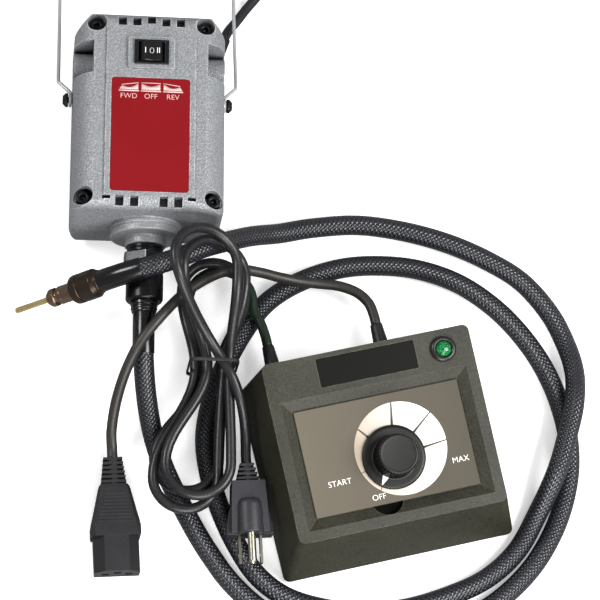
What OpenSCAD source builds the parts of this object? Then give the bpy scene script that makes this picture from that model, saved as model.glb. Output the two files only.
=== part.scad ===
// Hang-up motor with flexible shaft, table-top speed control and mains cords.
// The set lies on a table: +Z up, motor on its back with its top end toward +Y.

/* [Motor housing] */
// Width of the die-cast housing
motor_w = 92; // [84:1:100]
// Height of the housing along the motor axis
motor_h = 125; // [116:1:134]
// Depth of the housing, front face to back face
motor_d = 74; // [70:1:84]
// Radius of the long rounded edges
motor_edge_r = 19; // [14:1:22]
// Thickness of the cast walls
motor_wall = 4; // [3:0.5:5]
// Distance from the back face to the joint of the two castings
split_back = 28; // [22:1:32]
// Diameter of the socket screws that clamp the castings
shell_screw_d = 4; // [3:0.5:5]
// Width of a cooling slot
vent_w = 5; // [4:0.5:6]
// Depth of the recessed label panel
label_t = 0.6; // [0.4:0.1:1]
// Width of the label plate
label_w = 47; // [36:1:50]
// Height of the label plate
label_h = 72; // [50:1:74]

/* [Motor inside] */
// Diameter of the armature shaft
shaft_d = 8; // [6:0.5:9]
// Diameter of the laminated armature core
armature_d = 38; // [34:1:40]
// Length of the laminated cores
core_len = 40; // [34:1:44]
// Air gap between armature and field core
air_gap = 1; // [0.6:0.1:1.4]
// Diameter of the commutator
commutator_d = 24; // [20:1:28]
// Diameter of the cooling fan
fan_d = 52; // [44:1:58]
// Diameter of a carbon brush
brush_d = 6; // [5:0.5:7]

/* [Shaft connector] */
// Diameter of the end flange
flange_d = 43; // [38:1:48]
// Thickness of the end flange
flange_t = 8; // [6:0.5:10]
// Diameter of the neck below the flange
neck_d = 25; // [22:1:28]
// Length of the neck
neck_len = 5.5; // [4:0.5:8]
// Diameter of the black lock washer
washer_d = 22; // [20:1:24]
// Thickness of the black lock washer
washer_t = 4.5; // [3:0.5:6]
// Width of the hex nut across its flats
nut_af = 25; // [23:1:28]
// Length of the hex nut
nut_len = 8; // [6:0.5:10]
// Diameter of the black connector sleeve
sleeve_d = 22.6; // [20:0.2:23]
// Length of the black connector sleeve
sleeve_len = 22; // [18:1:26]
// Diameter of the ring where the sheath enters
ring_d = 15; // [14:0.5:18]
// Length of the ring where the sheath enters
ring_len = 7; // [5:0.5:9]

/* [Bail] */
// Diameter of the bail wire
bail_wire_d = 2.2; // [1.8:0.1:3]
// Distance from the pivot to the crossbar of the bail
bail_len = 104; // [96:1:112]
// Distance of each bail arm from the motor centre
bail_arm_x = 54.9; // [54:0.1:58]
// Height of the bail pivot above the lower end of the housing
bail_pivot_h = 80; // [70:1:90]
// Corner radius of the bail
bail_corner_r = 16; // [10:1:22]

/* [Switch] */
// Width of the raised frame around the switch
switch_frame_w = 28; // [25:1:30]
// Height of the raised frame around the switch
switch_frame_h = 20.5; // [19:0.5:23]
// Width of the switch bezel
bezel_w = 21; // [19.5:0.5:22]
// Height of the switch bezel
bezel_h = 15.5; // [14.5:0.5:16.5]
// Height of the switch above the lower end of the housing
switch_h = 98; // [94:1:102]
// Largest tilt of the rocker to either side, in degrees
rocker_tilt = 12; // [6:1:14]

/* [Flexible shaft] */
// Outer diameter of the braided sheath
sheath_d = 12.4; // [10:0.2:13]
// Diameter of the ferrule at the handpiece end
ferrule_d = 18; // [16:0.5:20]
// Length of the ferrule
ferrule_len = 19; // [15:1:22]
// Diameter of the snap connector
connector_d = 11.3; // [10:0.1:12.5]
// Length of the snap connector with its groove and ring
connector_len = 19; // [15:1:22]
// Diameter of the key tip
tip_d = 3.6; // [3:0.2:4.2]
// Length of the key tip beyond the connector
tip_len = 25.5; // [18:0.5:26]

/* [Speed control] */
// Width of the control case at its base
case_w = 144; // [132:1:152]
// Depth of the control case at its base
case_d = 122; // [112:1:130]
// Height of the case at its front edge
case_front_h = 46; // [42:1:50]
// Height of the case at its rear edge
case_rear_h = 60; // [56:1:66]
// Lean of the left and right walls, base to face
side_lean = 8; // [5:0.5:10]
// Lean of the front wall, base to face
front_lean = 13; // [9:0.5:15]
// Thickness of the case walls
case_wall = 3; // [2.5:0.25:4]
// Height of the rubber feet
foot_h = 3; // [2:0.5:4]
// Diameter of the rubber feet
foot_d = 14; // [12:1:16]
// Depth of the recess in the face
recess_depth = 4; // [3:0.5:5]
// Width of the panel plate
panel_w = 101; // [94:1:104]
// Height of the panel plate
panel_h = 64; // [60:1:66]
// Diameter of the knob skirt
knob_d = 38.5; // [34:0.5:42]
// Diameter of the knob grip
grip_d = 24; // [20:0.5:27]
// Height of the knob
knob_h = 18; // [15:0.5:21]
// Diameter of the control shaft
pot_shaft_d = 6; // [5:0.25:6.5]
// Diameter of the pilot light bezel
pilot_d = 15.5; // [14:0.5:17]

/* [Cords] */
// Diameter of the mains cord and the motor cord
cord_d = 6.2; // [6:0.1:6.4]
// Diameter of the outlet cord
outlet_cord_d = 6.4; // [6:0.1:6.6]

/* [Hidden] */
$fn = 48;
fit = 0.3;
run_fit = 0.05;
eps = 0.01;
axis_z = motor_d / 2;
motor_x = -86;
motor_y = 14.5;
front_y = -motor_d / 2;
back_y = motor_d / 2;
split_y = back_y - split_back;
end_round = 8;
top_cut = 11;
cavity_z0 = 9;
cavity_z1 = motor_h - 7;
cavity_d = motor_d - 2 * motor_wall;
brush_above = 13;
brush_z = max(96, bail_pivot_h + brush_above);
plateau_w = 54;
plateau_step = 1.2;
vent_pitch = 8.8;
vent_high = 5.6;
vent_deep = 10;
core_z0 = 36;
core_z1 = core_z0 + core_len;
boss_r = 10;
boss_in_x = 34.5;
shell_screw_top = [33, motor_h - 7];
shell_screw_low = [39, 7.5];
screw_seat_y = -24;
field_od = cavity_d - 2 * fit;
field_id = armature_d + 2 * air_gap;
bearing_od = 24;
bearing_t = 7;
tip_stem_d = tip_d - 0.5;
neck_z = -flange_t;
washer_z = neck_z - neck_len;
nut_z = washer_z - washer_t;
sleeve_z = nut_z - nut_len;
ring_z = sleeve_z - sleeve_len;
sheath_z = ring_z - ring_len;
bail_screw_d = 4;
bail_eye_r = 4.4;
bail_eye_x = motor_w / 2 + fit + bail_wire_d / 2;
bail_bump = 3.5 * (1 + sin(20)) - 1;
bail_drop = asin((axis_z - bail_wire_d / 2 - 0.1) / (bail_len + bail_bump));
case_x = 58.5;
case_y = -120;
case_turn = 13.6;
case_top_d = case_d - front_lean - 1.5;
face_rise = case_rear_h - case_front_h;
face_tilt = atan(face_rise / case_top_d);
face_len = case_top_d / cos(face_tilt);
face_w = case_w - 2 * side_lean;
corner_r = 4;
panel_t = 1.2;
panel_cx = 0;
panel_cy = -9;
dial_cx = 2.5;
dial_cy = -15;
notch_x = -6.5;
notch_r = 9.5;
notch_cy = panel_cy - panel_h / 2 + 2.5;
pot_hole_d = 9;
base_t = 2.5;
case_z0 = foot_h;
gland_z = 17;
gland_len = 20;
mains_gland_u = -50;
outlet_gland_u = 18.6;
tip_dir = [-0.772, -0.13, -0.62];

// Route of the sheath, from the motor to the ferrule
sheath_start = [motor_x, motor_y + sheath_z, axis_z];
sheath_points = [
    [-86, -53, 37], [-85.5, -69, 34], [-83.5, -85, 25], [-80, -101, 14], [-75, -117, 7.6],
    [-68, -134, 6.2], [-57, -156, 6.2], [-44, -178, 6.2], [-28, -199, 6.2], [-7, -216, 6.2],
    [20, -226, 6.2], [50, -230, 6.2], [80, -228, 6.2], [108, -219, 6.2], [133, -204, 6.2],
    [154, -183, 6.2], [169, -157, 6.2], [177, -130, 6.2], [178, -105, 6.2], [173, -81, 6.2],
    [164, -59, 6.2], [151, -39, 6.2], [134, -21, 6.2], [112, -6, 6.2], [87, 2.5, 6.2],
    [61, 4.5, 6.2], [36, 1.5, 6.2], [11, -8, 6.2], [-9, -22, 6.2], [-23, -41, 6.2],
    [-34, -62, 6.2], [-42, -84, 6.2], [-46, -108, 6.2], [-43, -132, 6.2], [-36, -154, 6.2],
    [-26, -175, 6.2], [-14, -192.5, 6.2], [2, -204.5, 6.2], [22, -211, 6.2], [48, -214, 6.2],
    [75, -211, 6.2], [101, -203, 6.2], [125, -191.5, 6.2], [144, -174, 6.2], [157, -151, 9],
    [167, -128, 19.3], [174, -106, 19.8], [179.5, -84, 19.4], [181.5, -62, 12.5],
    [177, -41, 7], [167.5, -22, 6.2], [151, -3, 6.2], [130, 10, 6.2], [105, 20.5, 6.2],
    [77, 27.5, 6.2], [48, 30.5, 6.2], [20, 27.5, 6.8], [-1, 22, 10.5], [-19.5, 15.5, 23],
    [-36, 7, 36.8], [-51, -1.5, 49.5], [-63, -8.5, 55], [-75.5, -14, 56.7], [-88.5, -17.6, 54.9],
    [-103.3, -20.9, 48.6]
];
sheath_end = [-113.2, -22.6, 41];

// Route of the motor cord, from its strain relief to the coil
motor_cord_points = [
    [-29, 163.5, 6.8], [-23.5, 172, 5], [-17, 181, 3.7], [-10.5, 190, 3.2], [-4, 200, 3.2],
    [2, 208, 3.2], [7.2, 216.5, 3.2], [11, 225.3, 3.2]
];

// Route of the outlet cord, from the control to its connector
outlet_points = [
    [53, -23, 16.5], [46, -16.3, 15.5], [35, -12.2, 14.6], [22.5, -11.2, 14.9], [10, -10.6, 16.6],
    [-2, -9.6, 19.9], [-14, -8.4, 24.6], [-27, -8.6, 30], [-40, -12.8, 35.4], [-53, -21.2, 40.8],
    [-65, -32, 45.6], [-77, -46, 48.6], [-88, -60.5, 46.8], [-96, -76, 37.5], [-101, -92, 24.5],
    [-103, -107, 13.5]
];
outlet_end = [-102, -124, 9.8];
outlet_dir = [0.06, -0.998, 0];

// Route of the mains cord, from the control to the hank and from the hank to the plug
mains_points = [[-12.5, -41, 16.9], [-14.8, -35.8, 16.5]];
plug_points = [
    [-30.5, -85.5, 42], [-27.6, -92.5, 38.6], [-25.3, -100, 33.6], [-23.8, -108, 28.8],
    [-23.2, -115.4, 26]
];
plug_end = [-22.6, -129, 25.3];
plug_dir = [0.06, -0.998, 0];

// Hank of the mains cord: three and a half loops in four layers
hank_pitch = cord_d + 1.1;
hank_z = 18.8;
hank_fold_r = 3.15 * cord_d;
hank_waist = [-44.5, -71.5];
hank_half = 6.5;
hank_shift = [2, -3, 4, 3];
hank_top = [[-38, -25], [-43, -22], [-45, -19], [-51, -15.5]];
hank_low = [[-58, -125], [-59, -138], [-52, -131]];
hank_rise = [-3.2, -3.2, 27.8, 28.6];
hank_tilt = [0, 0, 0.6, 0.6];
hank_climb_y = [4, 4, 4, -2];
hank_last_x = -37;
hank_last_rise = 4;
hank_steps = 6;

// Coil of the motor cord: turns spiral in, climb one layer and spiral out again
coil_turns = 7.25;
coil_start = 180;
coil_r = 24;
coil_pitch = cord_d + 0.7;
coil_climb = cord_d + 0.6;
coil_at = [62, 246];
coil_steps = 24;

// Moulded connectors of the outlet cord and the motor cord
iec_relief = 16;
iec_taper = 28;
iec_front = 26;
iec_w = 27;
iec_h = 19;
plug_relief_len = 11;
plug_face = 43;
blade_x = 4.5;
ground_d = 4.76;

// Places on the face of the control
pilot_x = 46;
pilot_y = face_len / 2 - 12.2;
name_x = -1;
name_y = face_len / 2 - 11.6;
name_w = 60;
name_h = 17;
pot_depth = panel_t + case_wall + 1.2;
board_z = 14;
rear_dir = [-sin(case_turn), cos(case_turn), 0];
function rear_exit(u) = [case_x, case_y, gland_z]
    + u * [cos(case_turn), sin(case_turn), 0] + (case_d / 2 + gland_len) * rear_dir;
mains_start = rear_exit(mains_gland_u);
outlet_start = rear_exit(outlet_gland_u);

function unit(v) = v / norm(v);
function smooth(t) = let (k = max(0, min(1, t))) k * k * (3 - 2 * k);
function ease(t) = (1 - cos(180 * t)) / 2;
function mix(a, b, t) = a + (b - a) * t;

function heading(p, i) =
    unit(p[min(i + 1, len(p) - 1)] - p[max(i - 1, 0)]);
function ring_points(centre, dir, r, sides) =
    let (side = unit(cross(dir, [0, 0, 1])), high = cross(side, dir))
    [for (k = [0:sides - 1]) let (a = 360 * (k + 0.5) / sides)
        centre + r * (cos(a) * side + sin(a) * high)];

// Loop number n lies in layer n; each loop is an arch, a run down, a fold and a run up
function hank_side(j, y) =
    let (w = hank_waist[0] + hank_shift[j])
    y > hank_waist[1] ? [w, hank_top[j], ease((y - hank_waist[1]) / (hank_top[j][1] - hank_waist[1]))]
    : [w, hank_low[min(j, 2)], ease((hank_waist[1] - y) / (hank_waist[1] - hank_low[min(j, 2)][1]))];
function hank_x(j, y, side) =
    let (s = hank_side(j, y)) mix(s[0] + side * hank_half, s[1][0] + side * hank_fold_r, s[2]);
function hank_lift(j, x, y) =
    let (r = smooth((y - hank_waist[1] - hank_climb_y[j]) / 50))
    hank_z + j * hank_pitch + r * (hank_rise[j] + hank_tilt[j] * (hank_top[3][0] - x));
function hank_at(j, x, y) = [x, y, hank_lift(j, x, y)];
function hank_arch(j, k) =
    let (c = hank_top[j], a = 180 * k) hank_at(j, c[0] + hank_fold_r * cos(a), c[1] + hank_fold_r * sin(a));
function hank_fold(j, k) =
    let (c = hank_low[j], a = 180 + 180 * k)
    hank_at(j, c[0] + hank_fold_r * cos(a), c[1] + hank_fold_r * sin(a));
function hank_down(j, k) =
    let (y = mix(hank_top[j][1], hank_low[min(j, 2)][1], k)) hank_at(j, hank_x(j, y, -1), y);
function hank_up(j, k) =
    let (y = mix(hank_low[j][1], hank_top[j + 1][1], k),
        a = hank_at(j, hank_x(j, y, 1), y), b = hank_at(j + 1, hank_x(j + 1, y, 1), y))
    mix(a, b, smooth(k));
function hank_last(k) =
    let (y = mix(hank_top[3][1], hank_waist[1] - 2, k),
        x = mix(hank_top[3][0] - hank_fold_r, hank_last_x, k * k * (2 - k)))
    hank_at(3, x, y) + [0, 0, hank_last_rise * smooth(k)];
hank_path = concat(
    [for (k = [0:hank_steps - 1]) hank_arch(0, k / hank_steps)],
    [for (j = [0:2]) each concat(
        [for (k = [0:hank_steps - 1]) hank_down(j, k / hank_steps)],
        [for (k = [0:hank_steps - 1]) hank_fold(j, k / hank_steps)],
        [for (k = [0:hank_steps - 1]) hank_up(j, k / hank_steps)],
        [for (k = [0:hank_steps - 1]) hank_arch(j + 1, k / hank_steps)])],
    [for (k = [0:hank_steps]) hank_last(k / hank_steps)]
);

// Least distance of a tube to itself, between its points and its straight pieces
function to_piece(p, a, b) =
    let (t = max(0, min(1, (p - a) * (b - a) / ((b - a) * (b - a))))) norm(p - a - t * (b - a));
function least_gap(path, d, skip) =
    min([for (i = [0:len(path) - 1], j = [0:len(path) - 2])
        if (abs(i - j) > skip && abs(i - j - 1) > skip) to_piece(path[i], path[j], path[j + 1])]) - d;

// A closed tube whose rings follow the points of a path; its ends are square to end_a and end_b
module tube(path, d, sides = 8, end_a = undef, end_b = undef) {
    last = len(path) - 1;
    rings = [for (i = [0:last])
        ring_points(path[i],
            i == 0 && !is_undef(end_a) ? unit(end_a)
            : i == last && !is_undef(end_b) ? unit(end_b) : heading(path, i), d / 2, sides)];
    points = [for (r = rings) each r];
    walls = [for (i = [0:last - 1], k = [0:sides - 1]) let (
        a = i * sides + k, b = i * sides + (k + 1) % sides, c = a + sides, e = b + sides)
        each [[a, b, e], [a, e, c]]];
    first_cap = [for (k = [1:sides - 2]) [0, k + 1, k]];
    last_cap = [for (k = [1:sides - 2]) [last * sides, last * sides + k, last * sides + k + 1]];
    polyhedron(points, concat(walls, first_cap, last_cap), convexity = 10);
}

// A flat rectangle with round corners, made of true arcs
module round_rect(w, h, r) {
    square([w - 2 * r, h], center = true);
    square([w, h - 2 * r], center = true);
    for (x = [-1, 1], y = [-1, 1])
        translate([x * (w / 2 - r), y * (h / 2 - r)]) circle(r);
}

// A pipe or disc along Z from z0 to z1
module pipe(od, id, z0, z1) {
    translate([0, 0, z0]) difference() {
        cylinder(d = od, h = z1 - z0);
        translate([0, 0, -1]) cylinder(d = id, h = z1 - z0 + 2);
    }
}

// Carries a child along the direction dir from the point at
module aim(at, dir) {
    u = unit(dir);
    translate(at) rotate([0, acos(u[2]), atan2(u[1], u[0])]) children();
}

// ---- motor, drawn standing: axis along Z, front toward -Y ----

module motor_place() {
    translate([motor_x, motor_y, axis_z]) rotate([-90, 0, 0]) children();
}

module housing_block(inset, z0, z1) {
    intersection() {
        translate([0, 0, z0]) linear_extrude(z1 - z0)
            round_rect(motor_w - 2 * inset, motor_d - 2 * inset, motor_edge_r - inset);
        translate([0, motor_d, 0]) rotate([90, 0, 0]) linear_extrude(2 * motor_d)
            front_outline(inset);
        rotate([90, 0, 90]) linear_extrude(2 * motor_w, center = true)
            translate([0, motor_h / 2])
                round_rect(motor_d - 2 * inset, motor_h, end_round);
    }
}

module front_outline(inset) {
    half = motor_w / 2 - inset;
    translate([0, motor_h / 4]) round_rect(2 * half, motor_h / 2, 5);
    polygon([
        [-half, motor_h / 4], [half, motor_h / 4], [half, motor_h - top_cut],
        [half - top_cut, motor_h], [-half + top_cut, motor_h], [-half, motor_h - top_cut]
    ]);
}

module screw_spots() {
    for (x = [-1, 1]) {
        translate([x * shell_screw_top[0], 0, shell_screw_top[1]]) children();
        translate([x * shell_screw_low[0], 0, shell_screw_low[1]]) children();
    }
}

module along_y(y0, y1, d) {
    translate([0, y0, 0]) rotate([-90, 0, 0]) cylinder(d = d, h = y1 - y0);
}

module along_x(x0, x1, d) {
    translate([x0, 0, 0]) rotate([0, 90, 0]) cylinder(d = d, h = x1 - x0);
}

module brush_boss(side) {
    boss_w = motor_w / 2 - boss_in_x + 6;
    x0 = side > 0 ? boss_in_x - 6 : -motor_w / 2;
    translate([0, -10, brush_z]) along_x(x0, x0 + boss_w, 2 * boss_r);
    translate([x0, -10, brush_z - boss_r]) cube([boss_w, 20, 2 * boss_r]);
}

// A slot in the face from z upward, and its way behind the face into the hollow
module vent(x, z, high, way_z, way_high) {
    translate([x - vent_w / 2, front_y - 1, z]) cube([vent_w, vent_deep, high]);
    translate([x - vent_w / 2, front_y + motor_wall + 0.5, way_z])
        cube([vent_w, vent_deep - motor_wall - 1.5, way_high]);
}

module brush_bores() {
    for (side = [-1, 1]) translate([0, 0, brush_z]) {
        along_x(side > 0 ? boss_in_x - 8 : -motor_w / 2 - 1,
            side > 0 ? motor_w / 2 + 1 : -boss_in_x + 8, brush_d + 4);
        along_x(side > 0 ? motor_w / 2 - 4 : -motor_w / 2 - 1,
            side > 0 ? motor_w / 2 + 1 : -motor_w / 2 + 4, 13);
    }
}

module housing_shape() {
    difference() {
        union() {
            difference() {
                housing_block(0, 0, motor_h);
                for (side = [-1, 1])
                    translate([side * (boss_in_x + motor_w / 4), front_y / 2 - 9, brush_z])
                        cube([motor_w / 2, motor_d / 2, 21], center = true);
            }
            for (side = [-1, 1]) brush_boss(side);
            // dome over the upper bearing
            translate([0, 0, motor_h - 1]) cylinder(d1 = 34, d2 = 24, h = 7);
            // rim that the end flange sits on
            translate([0, 0, -1]) cylinder(d = flange_d, h = 6);
            // raised frame of the switch
            translate([0, front_y + 2, switch_h]) rotate([90, 0, 0])
                linear_extrude(4) round_rect(switch_frame_w, switch_frame_h, 1.5);
        }
        // hollow for the motor, leaving the brush bosses whole
        difference() {
            housing_block(motor_wall, cavity_z0, cavity_z1);
            for (side = [-1, 1]) translate([side * (boss_in_x + 4), -12, brush_z])
                cube([16, 44, 24], center = true);
        }
        // bearing seats and the way for the shaft
        translate([0, 0, -2]) cylinder(d = bearing_od, h = cavity_z0 + 3);
        translate([0, 0, cavity_z1 - 1]) cylinder(d = bearing_od, h = bearing_t + 1);
        // cooling slots, upper and lower
        for (i = [-2:2]) let (z = motor_h - (i == 0 ? 7.5 : 9))
            vent(i * vent_pitch, z, vent_high, cavity_z1 - 5, 6);
        for (i = [-2, -1, 1, 2]) vent(i * vent_pitch, 1.5, vent_high, 1.5, cavity_z0);
        for (side = [-1, 1]) vent(side * 2.9 * vent_pitch, 4.9, 2.2, 4.9, cavity_z0 - 4);
        // bores of the brush holders and their caps
        brush_bores();
        // steps beside the raised middle of the face
        for (side = [-1, 1]) translate([side * (plateau_w + motor_w) / 2, front_y, motor_h / 2])
            cube([motor_w, 2 * plateau_step, 2 * motor_h], center = true);
        // opening of the switch
        translate([0, front_y - 3, switch_h]) cube([bezel_w - 1.6, 20, bezel_h - 1.6], center = true);
        // recess of the label
        translate([0, front_y + label_t, label_h / 2 + 10]) rotate([90, 0, 0])
            linear_extrude(4) round_rect(label_w + 0.4, label_h + 0.4, 2);
        // pockets and holes of the corner screws
        screw_spots() along_y(front_y - 1, screw_seat_y, 11.5);
        screw_spots() along_y(front_y - 1, back_y - 8, shell_screw_d);
        // threaded holes of the bail screws
        for (side = [-1, 1]) translate([0, 0, bail_pivot_h])
            along_x(side > 0 ? motor_w / 2 - 9 : -motor_w / 2 - 1,
                side > 0 ? motor_w / 2 + 1 : -motor_w / 2 + 9, bail_screw_d);
    }
}

module front_half() {
    translate([0, split_y - motor_d, motor_h / 2])
        cube([2 * motor_w, 2 * motor_d, 2 * motor_h], center = true);
}

// posts inside the castings that carry the screws and the field core
module inner_posts(y0, y1) {
    screw_spots() along_y(y0, y1, 10);
    for (side = [-1, 1]) translate([0, 0, bail_pivot_h])
        along_x(side > 0 ? motor_w / 2 - 11 : -motor_w / 2 + 1,
            side > 0 ? motor_w / 2 - 1 : -motor_w / 2 + 11, 9);
}

module front_housing() {
    color("#a9abad") motor_place() intersection() {
        union() { housing_shape(); posts_shape(); }
        front_half();
    }
}

module posts_shape() {
    difference() {
        intersection() {
            inner_posts(screw_seat_y - 2, back_y - motor_wall + 1);
            housing_block(1, 1, motor_h - 1);
        }
        screw_spots() along_y(front_y - 1, screw_seat_y, 11.5);
        screw_spots() along_y(front_y - 1, back_y - 8, shell_screw_d);
        brush_bores();
        for (side = [-1, 1]) translate([0, 0, bail_pivot_h])
            along_x(side > 0 ? motor_w / 2 - 9 : -motor_w / 2 - 1,
                side > 0 ? motor_w / 2 + 1 : -motor_w / 2 + 9, bail_screw_d);
    }
}

module rear_housing() {
    color("#9c9ea0") difference() {
        motor_place() difference() {
            union() { housing_shape(); posts_shape(); }
            front_half();
        }
        // mouth for the cord relief
        aim(relief_at, relief_dir) translate([0, 0, -12]) cylinder(d = relief_d + 2 * run_fit, h = 30);
    }
}

module shell_screws() {
    color("#1c1c1d") motor_place() screw_spots() {
        difference() {
            along_y(screw_seat_y - 5, screw_seat_y, 8.6);
            along_y(screw_seat_y - 6, screw_seat_y - 2.2, 4);
        }
        along_y(screw_seat_y, back_y - 9, shell_screw_d - 0.1);
    }
}

module label_plate() {
    color("#9e2227") motor_place() translate([0, front_y + label_t, label_h / 2 + 10])
        rotate([90, 0, 0]) linear_extrude(label_t + 0.15) round_rect(label_w, label_h, 1.8);
}

module rocker_cut(r, w) {
    translate([0, front_y + 0.5, switch_h]) cylinder(r = r, h = w, center = true);
}

module switch_body() {
    color("#161617") motor_place() difference() {
        union() {
            translate([0, front_y - 2.8, switch_h]) cube([bezel_w, 1.6, bezel_h], center = true);
            translate([0, front_y + 7, switch_h])
                cube([bezel_w - 2, 20, bezel_h - 2], center = true);
        }
        rocker_cut(7.9, bezel_h - 2.4);
        translate([0, front_y - 3, switch_h]) cube([15.8, 7, bezel_h - 2.4], center = true);
    }
    color("#b08d57") motor_place() for (x = [-6, 0, 6])
        translate([x, front_y + 20, switch_h]) cube([0.8, 7, 5], center = true);
}

module rocker() {
    color("#202022") motor_place() intersection() {
        rocker_cut(7.6, bezel_h - 3);
        translate([0, 0, switch_h]) linear_extrude(bezel_h, center = true) polygon([
            [-8, front_y + 4], [8, front_y + 4], [8, front_y - 6.4], [0, front_y - 4.9],
            [-8, front_y - 6.4]
        ]);
    }
}

module each_side() {
    children();
    mirror([1, 0, 0]) children();
}

module brush_holders() {
    color("#b08d57") motor_place() each_side() translate([0, 0, brush_z])
        difference() {
            along_x(commutator_d / 2 + 1.2, motor_w / 2 - 4.2, brush_d + 4 - 0.1);
            along_x(commutator_d / 2, motor_w / 2, brush_d + 0.1);
        }
}

module carbon_brushes() {
    color("#2b2b2d") motor_place() each_side() translate([0, 0, brush_z])
        along_x(commutator_d / 2 + run_fit, commutator_d / 2 + 15, brush_d);
}

module brush_springs() {
    color("#8f9296") motor_place() each_side() translate([0, 0, brush_z])
        difference() {
            along_x(commutator_d / 2 + 15, motor_w / 2 - 4, brush_d - 0.4);
            along_x(commutator_d / 2 + 14, motor_w / 2 - 3, brush_d - 1.8);
        }
}

module brush_caps() {
    color("#1a1a1b") motor_place() each_side() translate([0, 0, brush_z]) difference() {
        along_x(motor_w / 2 - 4, motor_w / 2 - 0.2, 12.9);
        translate([motor_w / 2, 0, 0]) cube([2.4, 1.4, 10], center = true);
    }
}

module field_core() {
    color("#6e6b68") motor_place() pipe(field_od, field_id, core_z0, core_z1);
}

module field_coils() {
    color("#8c4a22") motor_place() for (z = [core_z0 - 7, core_z1])
        difference() {
            translate([0, 0, z]) cylinder(d = field_od - 8, h = 7);
            translate([0, 0, z - 1]) cylinder(d = field_id + 3, h = 9);
            for (side = [-1, 1]) translate([side * field_od / 2, 0, z + 3])
                cube([12, 16, 10], center = true);
        }
}

module armature_shaft() {
    shaft_top = motor_h - 1;
    color("#c9ccd0") motor_place() {
        translate([0, 0, sleeve_z - 6]) cylinder(d = shaft_d, h = shaft_top - sleeve_z + 6);
        // drive socket for the core of the flexible shaft
        difference() {
            translate([0, 0, sleeve_z - 14]) cylinder(d = 12, h = 10);
            translate([0, 0, sleeve_z - 15]) cylinder(d = 4, h = 8);
            translate([0, 0, sleeve_z - 14]) cube([1.6, 14, 6], center = true);
        }
    }
}

module armature_core() {
    slots = 12;
    color("#77746f") motor_place() difference() {
        pipe(armature_d, shaft_d, core_z0, core_z1);
        for (i = [0:slots - 1]) rotate(i * 360 / slots)
            translate([armature_d / 2 - 2, -1.2, core_z0 - 1]) cube([4, 2.4, core_len + 2]);
    }
}

module armature_windings() {
    color("#a35424") motor_place() {
        pipe(armature_d - 6, shaft_d, core_z0 - 8, core_z0);
        pipe(armature_d - 6, shaft_d, core_z1, core_z1 + 8);
    }
}

module commutator() {
    bars = 12;
    color("#b3713a") motor_place() difference() {
        pipe(commutator_d, shaft_d, brush_z - 8, brush_z + 8);
        for (i = [0:bars - 1]) rotate(i * 360 / bars + 15)
            translate([commutator_d / 2 - 0.6, -0.3, brush_z - 9]) cube([2, 0.6, 18]);
    }
}

module cooling_fan() {
    blades = 12;
    color("#3a3c3f") motor_place() {
        pipe(16, shaft_d, cavity_z0 + 2, cavity_z0 + 14);
        pipe(fan_d, 15, cavity_z0 + 12, cavity_z0 + 14);
        for (i = [0:blades - 1]) rotate(i * 360 / blades)
            translate([7.8, -0.6, cavity_z0 + 4]) cube([fan_d / 2 - 9, 1.2, 8.5]);
    }
}

module bearing(z) {
    pipe(bearing_od - 0.02, 17, z, z + bearing_t);
    pipe(17.5, 13, z + 0.8, z + bearing_t - 0.8);
    pipe(14, shaft_d + 2 * run_fit, z, z + bearing_t);
}

module upper_bearing() {
    color("#b9bcc0") motor_place() bearing(cavity_z1 - 1);
}

module lower_bearing() {
    color("#b9bcc0") motor_place() bearing(1);
}

module end_flange() {
    color("#a4a6a8") motor_place() difference() {
        union() {
            translate([0, 0, neck_z]) cylinder(d = flange_d, h = flange_t - 1);
            translate([0, 0, neck_z - neck_len]) cylinder(d = neck_d, h = neck_len + 1);
            translate([0, 0, -1 - eps]) cylinder(d = bearing_od - 0.4, h = 2);
        }
        translate([0, 0, neck_z + 4]) difference() {
            cylinder(d = flange_d + 2, h = 0.8);
            cylinder(d = flange_d - 1.6, h = 0.8);
        }
        translate([0, 0, neck_z - neck_len - 1]) cylinder(d = 14, h = flange_t + neck_len + 4);
        for (a = [45:90:315]) rotate(a) translate([flange_d / 2 - 5, 0, neck_z - 1])
            cylinder(d = 3.2, h = 3);
    }
}

module lock_washer() {
    color("#141415") motor_place() pipe(washer_d, 14, nut_z, washer_z);
}

module hex_nut() {
    color("#b4b6b8") motor_place() difference() {
        intersection() {
            translate([0, 0, sleeve_z]) rotate(30) cylinder(d = nut_af / cos(30), h = nut_len, $fn = 6);
            translate([0, 0, sleeve_z])
                cylinder(d1 = nut_af / cos(30) - 2, d2 = nut_af / cos(30) + 6, h = nut_len);
        }
        translate([0, 0, sleeve_z - 1]) cylinder(d = 14, h = nut_len + 2);
    }
}

module connector_sleeve() {
    color("#121213") motor_place() difference() {
        union() {
            translate([0, 0, ring_z + 1]) cylinder(d = sleeve_d, h = sleeve_len - 1);
            translate([0, 0, ring_z]) cylinder(d1 = sleeve_d - 2, d2 = sleeve_d, h = 1);
        }
        translate([0, 0, ring_z + 3]) cylinder(d = 14, h = sleeve_len);
        translate([0, 0, ring_z - 1]) cylinder(d = 8, h = 6);
    }
}

module sheath_ring() {
    color("#17171a") motor_place() difference() {
        union() {
            translate([0, 0, sheath_z]) cylinder(d = ring_d, h = ring_len);
            translate([0, 0, sheath_z + ring_len / 2]) cylinder(d = ring_d + 1, h = 1.4);
        }
        translate([0, 0, sheath_z - 1]) cylinder(d = 7, h = ring_len + 2);
    }
}

// ---- bail, drawn in its own plane: pivots on the X axis, arms along Z ----

module bail_place() {
    motor_place() translate([0, 0, bail_pivot_h]) rotate([-bail_drop, 0, 0]) children();
}

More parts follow.
